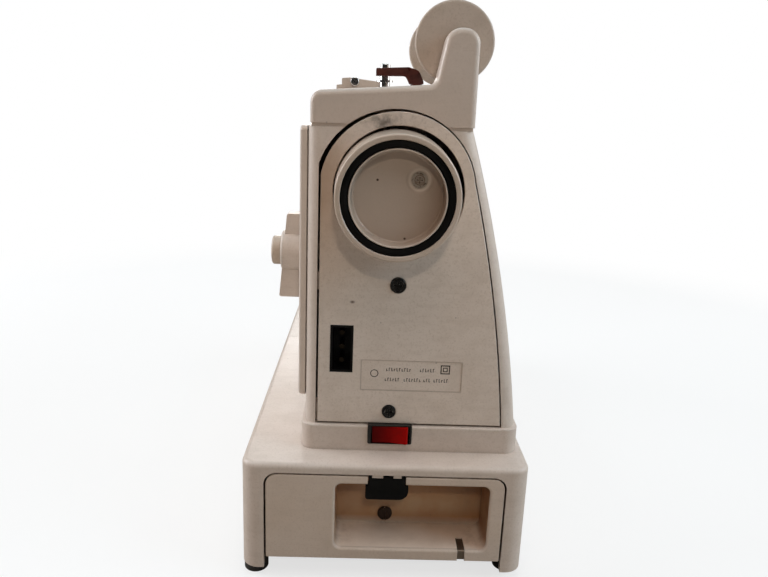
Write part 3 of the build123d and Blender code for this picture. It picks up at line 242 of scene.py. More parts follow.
def add_floor():
    """Pale floor that fades into a plain white surround away from the object."""
    mesh = bpy.data.meshes.new("floor")
    side = FLOOR_HALF
    corners = [(-side, -side, 0), (side, -side, 0), (side, side, 0), (-side, side, 0)]
    mesh.from_pydata(corners, [], [(0, 1, 2, 3)])
    floor = bpy.data.objects.new("floor", mesh)
    bpy.context.scene.collection.objects.link(floor)
    nodes = Nodes("floor")
    nodes.set("Base Color", (0.9, 0.9, 0.89, 1))
    nodes.set("Roughness", 0.9)
    distance = nodes.new("ShaderNodeVectorMath", operation="LENGTH")
    nodes.link(nodes.coords(), distance.inputs[0])
    fade = nodes.maths("MAXIMUM", nodes.smooth(distance.outputs["Value"], *FLOOR_FADE), FLOOR_WHITE)
    white = nodes.new("ShaderNodeEmission")
    seen = nodes.new("ShaderNodeMixShader")
    nodes.link(fade, seen.inputs[0])
    nodes.link(nodes.shader.outputs[0], seen.inputs[1])
    nodes.link(white.outputs[0], seen.inputs[2])
    unseen = nodes.new("ShaderNodeBsdfDiffuse")
    unseen.inputs["Color"].default_value = (*FLOOR_BOUNCE, 1)
    either = nodes.new("ShaderNodeMixShader")
    nodes.link(nodes.new("ShaderNodeLightPath").outputs["Is Camera Ray"], either.inputs[0])
    nodes.link(unseen.outputs[0], either.inputs[1])
    nodes.link(seen.outputs[0], either.inputs[2])
    nodes.link(either.outputs[0], nodes.output.inputs["Surface"])
    mesh.materials.append(nodes.material)


def area_light(name, place, target, size, power, colour):
    """Rectangular soft light turned towards a target."""
    data = bpy.data.lights.new(name, "AREA")
    data.shape = "RECTANGLE"
    data.size, data.size_y = size
    data.energy = power
    data.color = colour
    lamp = bpy.data.objects.new(name, data)
    lamp.location = place
    lamp.rotation_euler = (target - Vector(place)).to_track_quat("-Z", "Y").to_euler()
    bpy.context.scene.collection.objects.link(lamp)


def add_world():
    """White surround to look at; as light it is brighter behind and dim at the handwheel end."""
    world = bpy.data.worlds.new("studio")
    world.use_nodes = True
    tree = world.node_tree
    background = tree.nodes["Background"]
    direction = tree.nodes.new("ShaderNodeTexCoord").outputs["Generated"]
    split = tree.nodes.new("ShaderNodeSeparateXYZ")
    tree.links.new(direction, split.inputs[0])
    side = tree.nodes.new("ShaderNodeMapRange")
    side.interpolation_type = "SMOOTHSTEP"
    side.inputs["From Min"].default_value = DIM_FROM
    side.inputs["From Max"].default_value = BRIGHT_FROM
    tree.links.new(split.outputs["X"], side.inputs["Value"])
    tint = tree.nodes.new("ShaderNodeMix")
    tint.data_type = "RGBA"
    tint.inputs[6].default_value = (*DIM_LIGHT, 1)
    tint.inputs[7].default_value = (*BRIGHT_LIGHT, 1)
    tree.links.new(side.outputs[0], tint.inputs[0])
    seen = tree.nodes.new("ShaderNodeLightPath")
    choose = tree.nodes.new("ShaderNodeMix")
    choose.data_type = "RGBA"
    choose.inputs[7].default_value = (1, 1, 1, 1)
    tree.links.new(seen.outputs["Is Camera Ray"], choose.inputs[0])
    tree.links.new(tint.outputs[2], choose.inputs[6])
    tree.links.new(choose.outputs[2], background.inputs["Color"])
    bpy.context.scene.world = world


def add_lights():
    """World and soft panels, with a small key light that draws the handwheel's shadow."""
    add_world()
    for name, (place, size, power, colour) in LIGHTS.items():
        area_light(name, place, KEY_AIM if name == "key" else LIGHT_AIM, size, power, colour)
    bpy.context.scene.view_settings.view_transform = "Standard"


# ---------------------------------------------------------------- materials

CREAM = (0.735, 0.645, 0.575)
CREAM_WARM = (0.705, 0.590, 0.495)
CREAM_SHADE = (0.56, 0.470, 0.395)
# Dark brown for dirt and painted shade in corners.
GRIME_AND_SHADE = (0.13, 0.075, 0.04)
SOOT = (0.045, 0.038, 0.033)
SPOTS = (0.09, 0.045, 0.025)
# Pale cream for rubbed edges and their painted highlight.
RUBBED_CREAM_AND_HIGHLIGHT = (0.80, 0.74, 0.67)
TARNISH = (0.20, 0.13, 0.08)
# Near black for dirt and painted shade in metal corners.
BLACK_GRIME_AND_SHADE = (0.05, 0.04, 0.032)
INK = (0.035, 0.024, 0.018)
INK_WORN = (0.40, 0.345, 0.30)


def cream_plastic(
    name, tone=(1, 1, 1), yellowing=0.35, corner_dirt_and_shade=0.6, speckle=0.5, spots=0.6, gloss=0.40, stains=()
):
    """Aged cream plastic: orange peel, yellowed patches, corners darkened with dirt and painted shade,
    edges lightened with rubbed wear and a painted highlight, and specks.
    """
    n = Nodes(name)

    def toned(colour):
        return tuple(part * factor for part, factor in zip(colour, tone))

    patches = n.times(n.smooth(n.noise(9, 3), 0.38, 0.68), yellowing)
    colour = n.mix(patches, toned(CREAM), toned(CREAM_WARM))
    clouds = n.smooth(n.noise(48, 4, 0.65), 0.42, 0.72)
    streaks = n.smooth(n.noise(150, 3, 0.6, 0.2, (1, 0.35, 1.6)), 0.45, 0.70)
    grain = n.smooth(n.noise(780, 2, 0.6), 0.50, 0.70)
    for pattern, amount in ((clouds, 0.38), (streaks, 0.30), (grain, 0.55)):
        colour = n.mix(n.times(pattern, amount * speckle), colour, toned(CREAM_SHADE))
    for factor, tint in stains:
        colour = n.mix(factor(n), colour, tint)
    # Corners and creases are darkened: partly dirt, partly painted shade where less light reaches.
    corner = n.smooth(n.crevice(0.005), 0.30, 0.95)
    corner = n.times(corner, n.span(n.noise(160, 4, 0.7), 0.35, 0.65, 0.45, 1.0), corner_dirt_and_shade)
    colour = n.mix(corner, colour, GRIME_AND_SHADE)
    # Sharp edges are lightened: partly rubbed wear, partly a painted highlight along the edges.
    sharp = n.smooth(n.crevice(0.0012, inward=True), 0.25, 0.7)
    edge = n.times(sharp, n.smooth(n.noise(120, 4, 0.7), 0.5, 0.62))
    colour = n.mix(n.times(edge, 0.35), colour, RUBBED_CREAM_AND_HIGHLIGHT)
    dot = n.times(n.smooth(n.cells(42), 0.034, 0.020), n.smooth(n.noise(13, 1), 0.54, 0.58))
    small_dot = n.times(n.smooth(n.cells(130), 0.08, 0.05), n.smooth(n.noise(21, 1), 0.56, 0.60))
    dots = n.maths("MAXIMUM", dot, n.times(small_dot, 0.7))
    colour = n.mix(n.times(dots, spots), colour, SPOTS)
    smear = n.noise(30, 4, 0.6, 0.6, (1, 1, 3))
    roughness = n.span(smear, 0.3, 0.7, gloss - 0.03, gloss + 0.06)
    roughness = n.maths("ADD", roughness, n.times(corner, 0.25))
    peel = n.bump(n.noise(620, 2, 0.5), 0.30, 0.00018)
    wavy = n.bump(n.noise(28, 2), 0.10, 0.0005, peel)
    n.set("Specular IOR Level", 0.42)
    return n.finish(colour, roughness, wavy)


def black_plastic(name, gloss=0.16, dust=0.35, shine=0.4):
    """Black moulded plastic with dust, fine scratches and fingerprints."""
    n = Nodes(name)
    colour = n.mix(n.smooth(n.noise(40, 4), 0.4, 0.7), (0.004, 0.004, 0.004), (0.009, 0.0085, 0.008))
    where = n.smooth(n.noise(60, 3), 0.48, 0.62)
    specks = n.times(n.smooth(n.noise(1500, 2, 0.7), 0.66, 0.74), where, dust)
    colour = n.mix(specks, colour, (0.12, 0.105, 0.085))
    haze = n.times(n.smooth(n.noise(330, 4, 0.7), 0.55, 0.75), dust * 0.4)
    colour = n.mix(haze, colour, (0.03, 0.026, 0.02))
    print_marks = n.noise(75, 5, 0.65, 1.2)
    roughness = n.span(print_marks, 0.35, 0.7, gloss - 0.04, gloss + 0.16)
    scratches = n.smooth(n.noise(220, 3, 0.6, 0.4, (1, 6, 0.6)), 0.60, 0.66)
    normal = n.bump(scratches, 0.06, 0.00004)
    normal = n.bump(n.noise(420, 2), 0.07, 0.00008, normal)
    n.set("Specular IOR Level", shine)
    return n.finish(colour, roughness, normal)


def red_plastic(name):
    """Red rocker plastic with painted light and shade: dark red at one end, bright red at the other,
    duller in patches and with painted shade in its corners.
    """
    n = Nodes(name)
    low, high = (corner[1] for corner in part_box("switch_rocker"))
    # Painted light and shade along the rocker: darker at one end, brighter red at the other.
    along = n.smooth(n.axes()[1], low, high)
    colour = n.mix(along, (0.085, 0.0008, 0.0006), (0.40, 0.002, 0.001))
    dull = n.times(n.smooth(n.noise(260, 4, 0.65), 0.45, 0.7), 0.35)
    colour = n.mix(dull, colour, (0.14, 0.002, 0.002))
    # Corners darkened as painted shade.
    corner = n.times(n.smooth(n.crevice(0.002), 0.5, 1.0), 0.5)
    colour = n.mix(corner, colour, (0.02, 0.002, 0.002))
    roughness = n.span(n.noise(180, 4), 0.3, 0.7, 0.30, 0.50)
    n.set("Specular IOR Level", 0.07)
    return n.finish(colour, roughness, n.bump(n.noise(600, 3), 0.12, 0.0001))


def brown_plastic(name):
    """Red-brown moulded lever with flow marks, pale rubbed edges and a dull film."""
    n = Nodes(name)
    flow = n.noise(130, 4, 0.6, 1.4, (1, 0.4, 1))
    colour = n.mix(n.smooth(flow, 0.38, 0.66), (0.050, 0.010, 0.008), (0.105, 0.023, 0.016))
    sharp = n.smooth(n.crevice(0.001, inward=True), 0.2, 0.6)
    worn = n.times(sharp, n.smooth(n.noise(300, 3), 0.42, 0.6))
    colour = n.mix(n.times(worn, 0.4), colour, (0.34, 0.11, 0.06))
    roughness = n.span(n.noise(150, 4), 0.3, 0.7, 0.24, 0.46)
    return n.finish(colour, roughness, n.bump(n.noise(800, 3), 0.16, 0.0001))


def metal(name, base, dull, gloss, brushed=None, staining=0.25, grain=0.12, scale=500):
    """Bare or plated metal with smears, tarnish, pits and, where set, brushing along one direction."""
    n = Nodes(name)
    n.set("Metallic", 1.0)
    colour = n.mix(n.smooth(n.noise(70, 5, 0.6), 0.4, 0.68), base, dull)
    tarnish = n.times(n.smooth(n.noise(180, 5, 0.7), 0.56, 0.74), staining)
    colour = n.mix(tarnish, colour, TARNISH)
    # Corners darkened: partly dirt, partly painted shade.
    corner = n.times(n.smooth(n.crevice(0.002), 0.4, 1.0), 0.5)
    colour = n.mix(corner, colour, BLACK_GRIME_AND_SHADE)
    if brushed:
        lines = n.noise(scale, 3, 0.7, 0, brushed)
        roughness = n.span(lines, 0.3, 0.7, gloss - 0.07, gloss + 0.10)
    else:
        lines = n.noise(scale, 3, 0.65)
        roughness = n.span(n.noise(90, 5, 0.65, 0.8), 0.3, 0.7, gloss - 0.05, gloss + 0.12)
    roughness = n.maths("ADD", roughness, n.times(tarnish, 0.5))
    return n.finish(colour, n.maths("MAXIMUM", roughness, 0.03), n.bump(lines, grain, 0.00006))


def painted_screws(name, paint, bare_and_highlight, gloss):
    """Painted screws whose finish has rubbed off at the edges of head and cross, with a painted
    highlight on those edges and painted shade in the grooves.
    """
    n = Nodes(name)
    n.set("Metallic", 0.25)
    n.set("Specular IOR Level", 0.3)
    darker = tuple(part * 0.45 for part in paint)
    colour = n.mix(n.smooth(n.noise(700, 4, 0.7), 0.4, 0.7), paint, darker)
    # Edges of head and cross turn pale: partly rubbed-off paint, partly a painted highlight.
    sharp = n.smooth(n.crevice(0.0007, inward=True), 0.34, 0.85)
    worn = n.times(sharp, n.smooth(n.noise(520, 3, 0.7), 0.50, 0.57))
    colour = n.mix(n.times(worn, 0.85), colour, bare_and_highlight)
    # Painted shade darkens the ring and cross grooves.
    groove_shade = n.times(n.smooth(n.crevice(0.0012), 0.45, 0.95), 0.7)
    colour = n.mix(groove_shade, colour, (0.02, 0.014, 0.01))
    roughness = n.span(n.noise(1100, 3, 0.6), 0.3, 0.7, gloss - 0.08, gloss + 0.14)
    return n.finish(colour, roughness, n.bump(n.noise(1300, 3, 0.7), 0.35, 0.00012))


def dirty_screw(name):
    """Small painted screw head, cream rubbed to brown, its ring and cross darkened with dirt and painted
    shade.
    """
    n = Nodes(name)
    brown, dark_brown = ((0.30, 0.235, 0.185), (0.235, 0.18, 0.14))
    colour = n.mix(n.smooth(n.noise(160, 4, 0.7), 0.38, 0.66), brown, dark_brown)
    # Ring and cross darkened: partly dirt, partly painted shade.
    colour = n.mix(n.smooth(n.crevice(0.0007), 0.18, 0.5), colour, (0.035, 0.024, 0.017))
    sharp = n.smooth(n.crevice(0.0006, inward=True), 0.15, 0.5)
    rubbed = n.times(sharp, n.smooth(n.noise(500, 3), 0.38, 0.5))
    colour = n.mix(n.times(rubbed, 0.7), colour, (0.62, 0.55, 0.47))
    roughness = n.span(n.noise(800, 3), 0.3, 0.7, 0.26, 0.46)
    return n.finish(colour, roughness, n.bump(n.noise(1100, 3), 0.3, 0.0001))


def casting(name):
    """Sand-cast aluminium: grainy skin, grey bloom and oily stains."""
    n = Nodes(name)
    n.set("Metallic", 0.85)
    skin = n.smooth(n.noise(60, 5, 0.65), 0.38, 0.7)
    colour = n.mix(skin, (0.56, 0.565, 0.57), (0.38, 0.38, 0.375))
    oil = n.times(n.smooth(n.noise(22, 4, 0.6, 0.5), 0.55, 0.75), 0.4)
    colour = n.mix(oil, colour, (0.22, 0.16, 0.09))
    # Corners darkened: partly dirt, partly painted shade.
    corner = n.times(n.smooth(n.crevice(0.006), 0.3, 1.0), 0.6)
    colour = n.mix(corner, colour, (0.07, 0.055, 0.04))
    roughness = n.span(n.noise(300, 4, 0.7), 0.3, 0.7, 0.42, 0.66)
    normal = n.bump(n.noise(900, 3, 0.65), 0.55, 0.0002)
    return n.finish(colour, roughness, n.bump(n.noise(150, 3), 0.2, 0.0004, normal))


def motor_paint(name):
    """Dark stove enamel with orange peel, chips at the edges and dust on top."""
    n = Nodes(name)
    paint = n.smooth(n.noise(50, 4), 0.4, 0.7)
    colour = n.mix(paint, (0.050, 0.056, 0.060), (0.085, 0.09, 0.092))
    sharp = n.smooth(n.crevice(0.0012, inward=True), 0.3, 0.7)
    chip = n.times(sharp, n.smooth(n.noise(250, 4, 0.7), 0.54, 0.58))
    colour = n.mix(chip, colour, (0.35, 0.34, 0.33))
    dust = n.times(n.smooth(n.noise(380, 4, 0.7), 0.5, 0.75), 0.25)
    colour = n.mix(dust, colour, (0.2, 0.18, 0.15))
    roughness = n.span(n.noise(120, 4), 0.3, 0.7, 0.3, 0.5)
    return n.finish(colour, roughness, n.bump(n.noise(520, 2), 0.3, 0.00015))


def rubber(name):
    """Matt black rubber with a grey bloom, mould grain and rubbed dust."""
    n = Nodes(name)
    bloom = n.smooth(n.noise(120, 4, 0.6), 0.4, 0.7)
    colour = n.mix(bloom, (0.012, 0.012, 0.012), (0.035, 0.034, 0.032))
    dust = n.times(n.smooth(n.noise(620, 4, 0.7), 0.55, 0.75), 0.3)
    colour = n.mix(dust, colour, (0.13, 0.115, 0.095))
    roughness = n.span(n.noise(200, 3), 0.3, 0.7, 0.58, 0.85)
    return n.finish(colour, roughness, n.bump(n.noise(1400, 3, 0.6), 0.4, 0.0001))


def glass(name):
    """Clear lamp glass with a smoky film."""
    n = Nodes(name)
    n.set("Transmission Weight", 0.92)
    n.set("IOR", 1.46)
    colour = n.mix(n.smooth(n.noise(90, 4), 0.4, 0.7), (0.95, 0.93, 0.86), (0.82, 0.77, 0.66))
    roughness = n.span(n.noise(160, 4), 0.3, 0.7, 0.03, 0.22)
    return n.finish(colour, roughness, n.bump(n.noise(70, 2), 0.1, 0.0002))


# ---------------------------------------------------------------- finish of each CAD node


def paint_nodes():
    """Give every CAD node a detailed material for its slot, with its own dirt, painted light and painted
    shade where it has some.
    """
    disc_tone = (0.82, 0.79, 0.76)
    pins = metal("dull_pins", (0.022, 0.017, 0.012), (0.012, 0.009, 0.007), 0.42, staining=0.1)
    special = {
        "end_cover": end_cover_material(),
        "accessory_drawer": drawer_material(),
        "base_shell": cream_plastic("cream_base", (0.97, 0.96, 0.96), 0.3, 0.8, 0.7, 0.6, 0.36),
        # The control panel's lighter tone is painted light.
        "control_panel": cream_plastic("cream_panel_lit", (1.10, 1.11, 1.13), 0.3, 0.7, 0.3, 0.4, 0.30),
        "extension_table": cream_plastic("cream_table", yellowing=0.3, speckle=0.8, gloss=0.42),
        "clutch_knob": clutch_material(),
        "clutch_screw": dirty_screw("dirty_screw"),
        # The rim's darker tone is painted shade.
        "handwheel_rim": cream_plastic("cream_wheel_shaded", (0.86, 0.82, 0.78), 0.5, 0.5, 0.4, 0.2, 0.20),
        "handwheel_ring": black_plastic("black_ring", 0.34, 0.06, 0.10),
        "drawer_latch": black_plastic("black_latch", 0.34, 0.08, 0.10),
        "socket_block": black_plastic("black_socket", 0.34, 0.10, 0.12),
        "socket_pins": pins,
        "top_cover": cream_plastic("cream_cover", (0.93, 0.91, 0.90), 0.4, 0.5, 0.4, 0.3, 0.30),
        "spool_disc": cream_plastic("cream_disc", disc_tone, 0.7, 0.5, 0.8, 0.2, 0.34),
        "spool_cap": cream_plastic("cream_cap", disc_tone, 0.9, 0.6, 0.8, 0.3, 0.34),
        "reverse_button": cream_plastic("cream_button", (0.90, 0.86, 0.80), 0.8, 0.6, 0.6, 0.2, 0.34),
    }
    bright, dull = ((0.74, 0.735, 0.72), (0.60, 0.59, 0.57))
    chrome = metal("chrome_plate", bright, dull, 0.10, staining=0.12, grain=0.04)
    steel = metal("ground_steel", (0.42, 0.42, 0.42), (0.30, 0.295, 0.29), 0.40, brushed=(0.15, 1, 1))
    bright, dull = ((0.50, 0.33, 0.16), (0.36, 0.22, 0.10))
    bronze = metal("sintered_bronze", bright, dull, 0.42, grain=0.4, scale=1600)
    by_slot = {
        "cream_plastic": cream_plastic("cream_body"),
        "black_plastic": black_plastic("black_gloss"),
        "red_plastic": red_plastic("red_rocker"),
        "brown_plastic": brown_plastic("brown_lever"),
        "black_screws": painted_screws("black_screws", (0.010, 0.0095, 0.009), (0.62, 0.60, 0.56), 0.30),
        "brown_screw": painted_screws("brown_screw", (0.040, 0.022, 0.015), (0.50, 0.38, 0.27), 0.34),
        "steel": steel,
        "chrome": chrome,
        "bronze": bronze,
        "casting": casting("cast_aluminium"),
        "motor_paint": motor_paint("motor_enamel"),
        "rubber": rubber("black_rubber"),
        "glass": glass("lamp_glass"),
    }
    slots = {part["node"]: part["material_slot"] for part in frame["record"]["subparts"]}
    for name, node in NODES.items():
        material = special.get(name, by_slot[slots[name]])
        for index in range(max(1, len(node.data.materials))):
            if node.data.materials:
                node.data.materials[index] = material
            else:
                node.data.materials.append(material)


def end_cover_material():
    """End cover: soot over the wheel, a browner front edge, scuffs and a painted shade line round the
    rating plate's recess.
    """
    low, high = (Vector(corner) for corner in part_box("end_cover"))
    face = high.x
    line, soft = (0.32 * MM, 0.25 * MM)
    plate_y = (low.y + 27.0 * MM, low.y + 90.5 * MM)
    plate_z = (low.z + 22.6 * MM, low.z + 42.6 * MM)

    def soot(n):
        smudge = n.ball((face, low.y + 35.5 * MM, high.z - 6 * MM), 10 * MM, (1, 0.6, 1.3))
        haze = n.ball((face, low.y + 40 * MM, high.z - 6 * MM), 24 * MM, (1, 0.7, 2.4))
        blotch = n.times(smudge, n.smooth(n.noise(170, 3, 0.6), 0.30, 0.72), 0.8)
        thin = n.times(haze, n.smooth(n.noise(300, 4, 0.7), 0.45, 0.7), 0.4)
        return n.maths("MAXIMUM", blotch, thin)

    def spot(n):
        centre = (face, low.y + 20.5 * MM, low.z + 80 * MM)
        return n.times(n.ball(centre, 1.4 * MM, (1, 0.6, 1)), 0.9)

    def scuffs(n):
        marks = n.smooth(n.noise(420, 5, 0.75, 0.3, (1, 2.5, 0.7)), 0.60, 0.68)
        return n.times(marks, n.smooth(n.noise(16, 3), 0.5, 0.66), 0.35)

    # Painted shade: a darker line round the rating plate's recess.
    def plate_edge(n):
        outer_low = (face - 2 * MM, plate_y[0] - line, plate_z[0] - line)
        outer_high = (face + MM, plate_y[1] + line, plate_z[1] + line)
        inner_low = (face - 3 * MM, plate_y[0] + line, plate_z[0] + line)
        inner_high = (face + 2 * MM, plate_y[1] - line, plate_z[1] - line)
        outer = n.inside(outer_low, outer_high, soft)
        outline = n.maths("SUBTRACT", outer, n.inside(inner_low, inner_high, soft))
        return n.times(n.maths("MAXIMUM", outline, 0.0), 0.5)

    def warm_side(n):
        sideways = n.smooth(n.axes()[1], low.y + 24 * MM, low.y - 4 * MM)
        upward = n.smooth(n.axes()[2], low.z + 78 * MM, low.z + 150 * MM)
        return n.times(sideways, upward, n.span(n.noise(30, 4), 0.3, 0.7, 0.7, 1.0))

    stains = [
        (warm_side, (0.44, 0.31, 0.215)),
        (plate_edge, (0.36, 0.28, 0.22)),
        (soot, SOOT),
        (spot, SPOTS),
        (scuffs, (0.30, 0.24, 0.19)),
    ]
    return cream_plastic("cream_end", (1.12, 1.12, 1.12), 0.45, 0.8, 0.85, 0.5, 0.36, stains)


def drawer_material():
    """Accessory drawer: a brown film of dirt and painted shade on the niche's back wall, a floor and a
    low band lightened as painted light, and stained corners.
    """
    low, high = (Vector(corner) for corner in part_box("accessory_drawer"))
    niche_low = (high.x - 30.8 * MM, low.y + 42.3 * MM, low.z + 6.7 * MM)
    niche_high = (high.x - 2.5 * MM, low.y + 140.8 * MM, low.z + 53.4 * MM)
    left_corner_high = (high.x - 1.5 * MM, low.y + 52 * MM, low.z + 34 * MM)
    right_corner_low = (high.x - 30.8 * MM, low.y + 128 * MM, low.z + 6.7 * MM)

    def in_niche(n):
        return n.inside(niche_low, niche_high, 0.5 * MM)

    # Brown film on the back wall: partly dirt, partly painted shade under the niche's ceiling.
    def film(n):
        lower = n.span(n.axes()[2], low.z + 8 * MM, low.z + 13 * MM, 0.08, 1.0)
        sideways = n.span(n.axes()[1], low.y + 42 * MM, low.y + 141 * MM, 0.85, 1.0)
        mottle = n.span(n.noise(38, 4), 0.3, 0.7, 0.8, 1.0)
        return n.times(in_niche(n), lower, sideways, mottle)

    def dark_right(n):
        sideways = n.smooth(n.axes()[1], low.y + 95 * MM, low.y + 150 * MM)
        upward = n.smooth(n.axes()[2], low.z + 10 * MM, low.z + 18 * MM)
        return n.times(in_niche(n), sideways, upward, 0.5)

    # Painted light: the niche's floor made paler where light falls on it.
    def niche_floor(n):
        level = n.smooth(n.axes()[2], low.z + 9 * MM, low.z + 7.2 * MM)
        light_patches = n.span(n.noise(55, 4), 0.3, 0.7, 0.45, 1.0)
        return n.times(in_niche(n), level, light_patches)

    # Painted light: a paler horizontal band low on the niche's back wall.
    def band(n):
        level = n.ball((high.x - 32 * MM, low.y + 100 * MM, low.z + 22 * MM), 50 * MM, (1, 0.45, 3.2))
        return n.times(level, n.span(n.noise(60, 4, 0.6), 0.35, 0.65, 0.3, 0.8))

    def stain(n, corner_low, corner_high, amount):
        patch = n.smooth(n.noise(120, 5, 0.7), 0.42, 0.66)
        fade = n.inside(corner_low, corner_high, 6 * MM)
        return n.times(in_niche(n), fade, patch, amount)

    stains = [
        (film, (0.44, 0.20, 0.068)),
        (dark_right, (0.22, 0.09, 0.03)),
        (niche_floor, (0.95, 0.82, 0.70)),
        (band, (0.60, 0.42, 0.26)),
        (lambda n: stain(n, niche_low, left_corner_high, 0.45), (0.20, 0.095, 0.04)),
        (lambda n: stain(n, right_corner_low, niche_high, 0.45), (0.20, 0.10, 0.045)),
    ]
    return cream_plastic("cream_drawer", (0.96, 0.93, 0.90), 0.55, 0.8, 0.6, 0.4, 0.38, stains)


def clutch_material():
    """Clutch knob: a dish browner with dirt and painted shade, painted shade on one side, two dark
    specks and a painted highlight ring round the screw.
    """
    low, high = (Vector(corner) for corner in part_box("clutch_knob"))
    middle = (low + high) / 2

    def in_dish(n):
        return n.inside(low, (high.x - 1.4 * MM, high.y, high.z), 0.8 * MM)

    # The dish is browner: partly dirt, partly painted shade in its hollow.
    def film(n):
        return n.times(in_dish(n), 0.75)

    def speck(n):
        left = (high.x - 9.6 * MM, middle.y - 11.6 * MM, middle.z + 9.3 * MM)
        lower = (high.x - 9.0 * MM, middle.y + 5.0 * MM, middle.z - 23.6 * MM)
        small = n.smooth(n.ball(left, 1.1 * MM), 0.1, 0.5)
        large = n.smooth(n.ball(lower, 1.5 * MM), 0.1, 0.5)
        return n.times(n.maths("MAXIMUM", small, large), 0.95)

    # Painted highlight: a paler ring round the screw, strongest at its lower side.
    def pale_ring(n):
        centre = (high.x - 11 * MM, middle.y + 12.1 * MM, middle.z + 9.9 * MM)
        wide = n.smooth(n.ball(centre, 7.6 * MM, (0.2, 1, 1)), 0.0, 0.12)
        return n.times(wide, n.span(n.axes()[2], middle.z + 17 * MM, middle.z + 4 * MM, 0.25, 0.8))

    # Painted shade on one inner side of the dish.
    def brown_side(n):
        sideways = n.smooth(n.axes()[1], middle.y + 8 * MM, middle.y + 29 * MM)
        return n.times(in_dish(n), sideways, 0.6)

    stains = [
        (film, (0.48, 0.385, 0.315)),
        (brown_side, (0.27, 0.155, 0.09)),
        (pale_ring, (0.80, 0.70, 0.60)),
        (speck, (0.035, 0.016, 0.01)),
    ]
    return cream_plastic("cream_clutch", (0.93, 0.90, 0.87), 0.5, 0.7, 0.6, 0.0, 0.36, stains)


# ---------------------------------------------------------------- printed marks and small fittings


def link_piece(name, mesh, body, material):
    """Put a mesh in the scene as a piece that moves with a body."""
    piece = bpy.data.objects.new(name, mesh)
    bpy.context.scene.collection.objects.link(piece)
    mesh.materials.append(material)
    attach(piece, body)


def prism_mesh(name, outlines, bevel):
    """Mesh of several closed outlines, each (points, offset), extruded by offset and softly bevelled."""
    form = bmesh.new()
    for points, offset in outlines:
        face = form.faces.new([form.verts.new(point) for point in points])
        moved = bmesh.ops.extrude_face_region(form, geom=[face])["geom"]
        verts = [part for part in moved if isinstance(part, bmesh.types.BMVert)]
        bmesh.ops.translate(form, verts=verts, vec=offset)
    bmesh.ops.recalc_face_normals(form, faces=form.faces)
    if bevel:
        edges = list(form.edges)
        bmesh.ops.bevel(form, geom=edges, offset=bevel, segments=2, affect="EDGES", profile=0.6)
    mesh = bpy.data.meshes.new(name)
    form.to_mesh(mesh)
    form.free()
    for polygon in mesh.polygons:
        polygon.use_smooth = False
    return mesh


def ink(name):
    """Printed ink: dark, a little worn through and uneven."""
    n = Nodes(name)
    worn = n.times(n.smooth(n.noise(900, 4, 0.75), 0.50, 0.62), 0.55)
    shade = n.mix(worn, INK, INK_WORN)
    roughness = n.span(n.noise(400, 3), 0.3, 0.7, 0.38, 0.6)
    return n.finish(shade, roughness, n.bump(n.noise(1200, 2), 0.2, 0.00004))


def tick_row(left, right, base, height, pitch, stroke):
    """Upright dashes tied by short bars at foot or top, as rectangles (y0, y1, z0, z1)."""
    bars = []
    count = max(1, int(round((right - left) / pitch)))
    for index in range(count):
        start = left + index * pitch
        tall = height if index % 3 else height * 0.72
        bars.append((start, start + stroke, base, base + tall))
        if index % 2 == 0:
            bars.append((start + stroke, start + pitch * 0.62, base, base + stroke))
        else:
            bars.append((start + stroke, start + pitch * 0.55, base + tall - stroke, base + tall))
    return bars


def ring_points(centre_y, centre_z, radius):
    turns = [2 * math.pi * step / RING_STEPS for step in range(RING_STEPS)]
    return [(centre_y + radius * math.cos(turn), centre_z + radius * math.sin(turn)) for turn in turns]


# Rating plate print in millimetres from the end cover's low corner: rows are height: dashes' ends, and
# squares are inset: line width.
PRINT_DEPTH_BELOW_FACE = 0.42
PRINT_THICKNESS = 0.07
PRINT_HEIGHT, PRINT_PITCH, PRINT_STROKE = (2.3, 1.62, 0.46)
PRINT_ROWS = {
    35.5: [(42.8, 59.4), (64.1, 74.6)],
    28.8: [(42.2, 52.2), (54.1, 65.0), (66.6, 71.4), (73.0, 82.8)],
}
SQUARE_CORNER, SQUARE_SIDE = ((77.0, 34.4), 6.0)
SQUARES = {0: 0.72, 1.5: 0.576}
RING_CENTRE, RING_RADII, RING_STEPS = ((35.4, 33.8), (2.6, 2.05), 24)


def add_rating_marks():
    """Plain dashes in two rows, a ring and a square stand where a rating plate has its print."""
    low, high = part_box("end_cover")
    x0 = high[0] - PRINT_DEPTH_BELOW_FACE * MM
    depth = (PRINT_THICKNESS * MM, 0, 0)
    bars = []
    for base, words in PRINT_ROWS.items():
        for left, right in words:
            bars += tick_row(left, right, base, PRINT_HEIGHT, PRINT_PITCH, PRINT_STROKE)
    for inset, width in SQUARES.items():
        y0, z0 = (corner + inset for corner in SQUARE_CORNER)
        side = SQUARE_SIDE - 2 * inset
        bars += [(y0, y0 + side, z0, z0 + width), (y0, y0 + side, z0 + side - width, z0 + side)]
        bars += [(y0, y0 + width, z0 + width, z0 + side - width)]
        bars += [(y0 + side - width, y0 + side, z0 + width, z0 + side - width)]
    shapes = [[(a, c), (b, c), (b, d), (a, d)] for a, b, c, d in bars]
    outer, inner = (ring_points(*RING_CENTRE, radius) for radius in RING_RADII)
    for index, start in enumerate(outer):
        after = (index + 1) % len(outer)
        shapes.append([start, outer[after], inner[after], inner[index]])
    outlines = [([(x0, low[1] + y * MM, low[2] + z * MM) for y, z in shape], depth) for shape in shapes]
    mesh = prism_mesh("rating_marks", outlines, 0)
    link_piece("rating_marks", mesh, "frame", ink("rating_ink"))


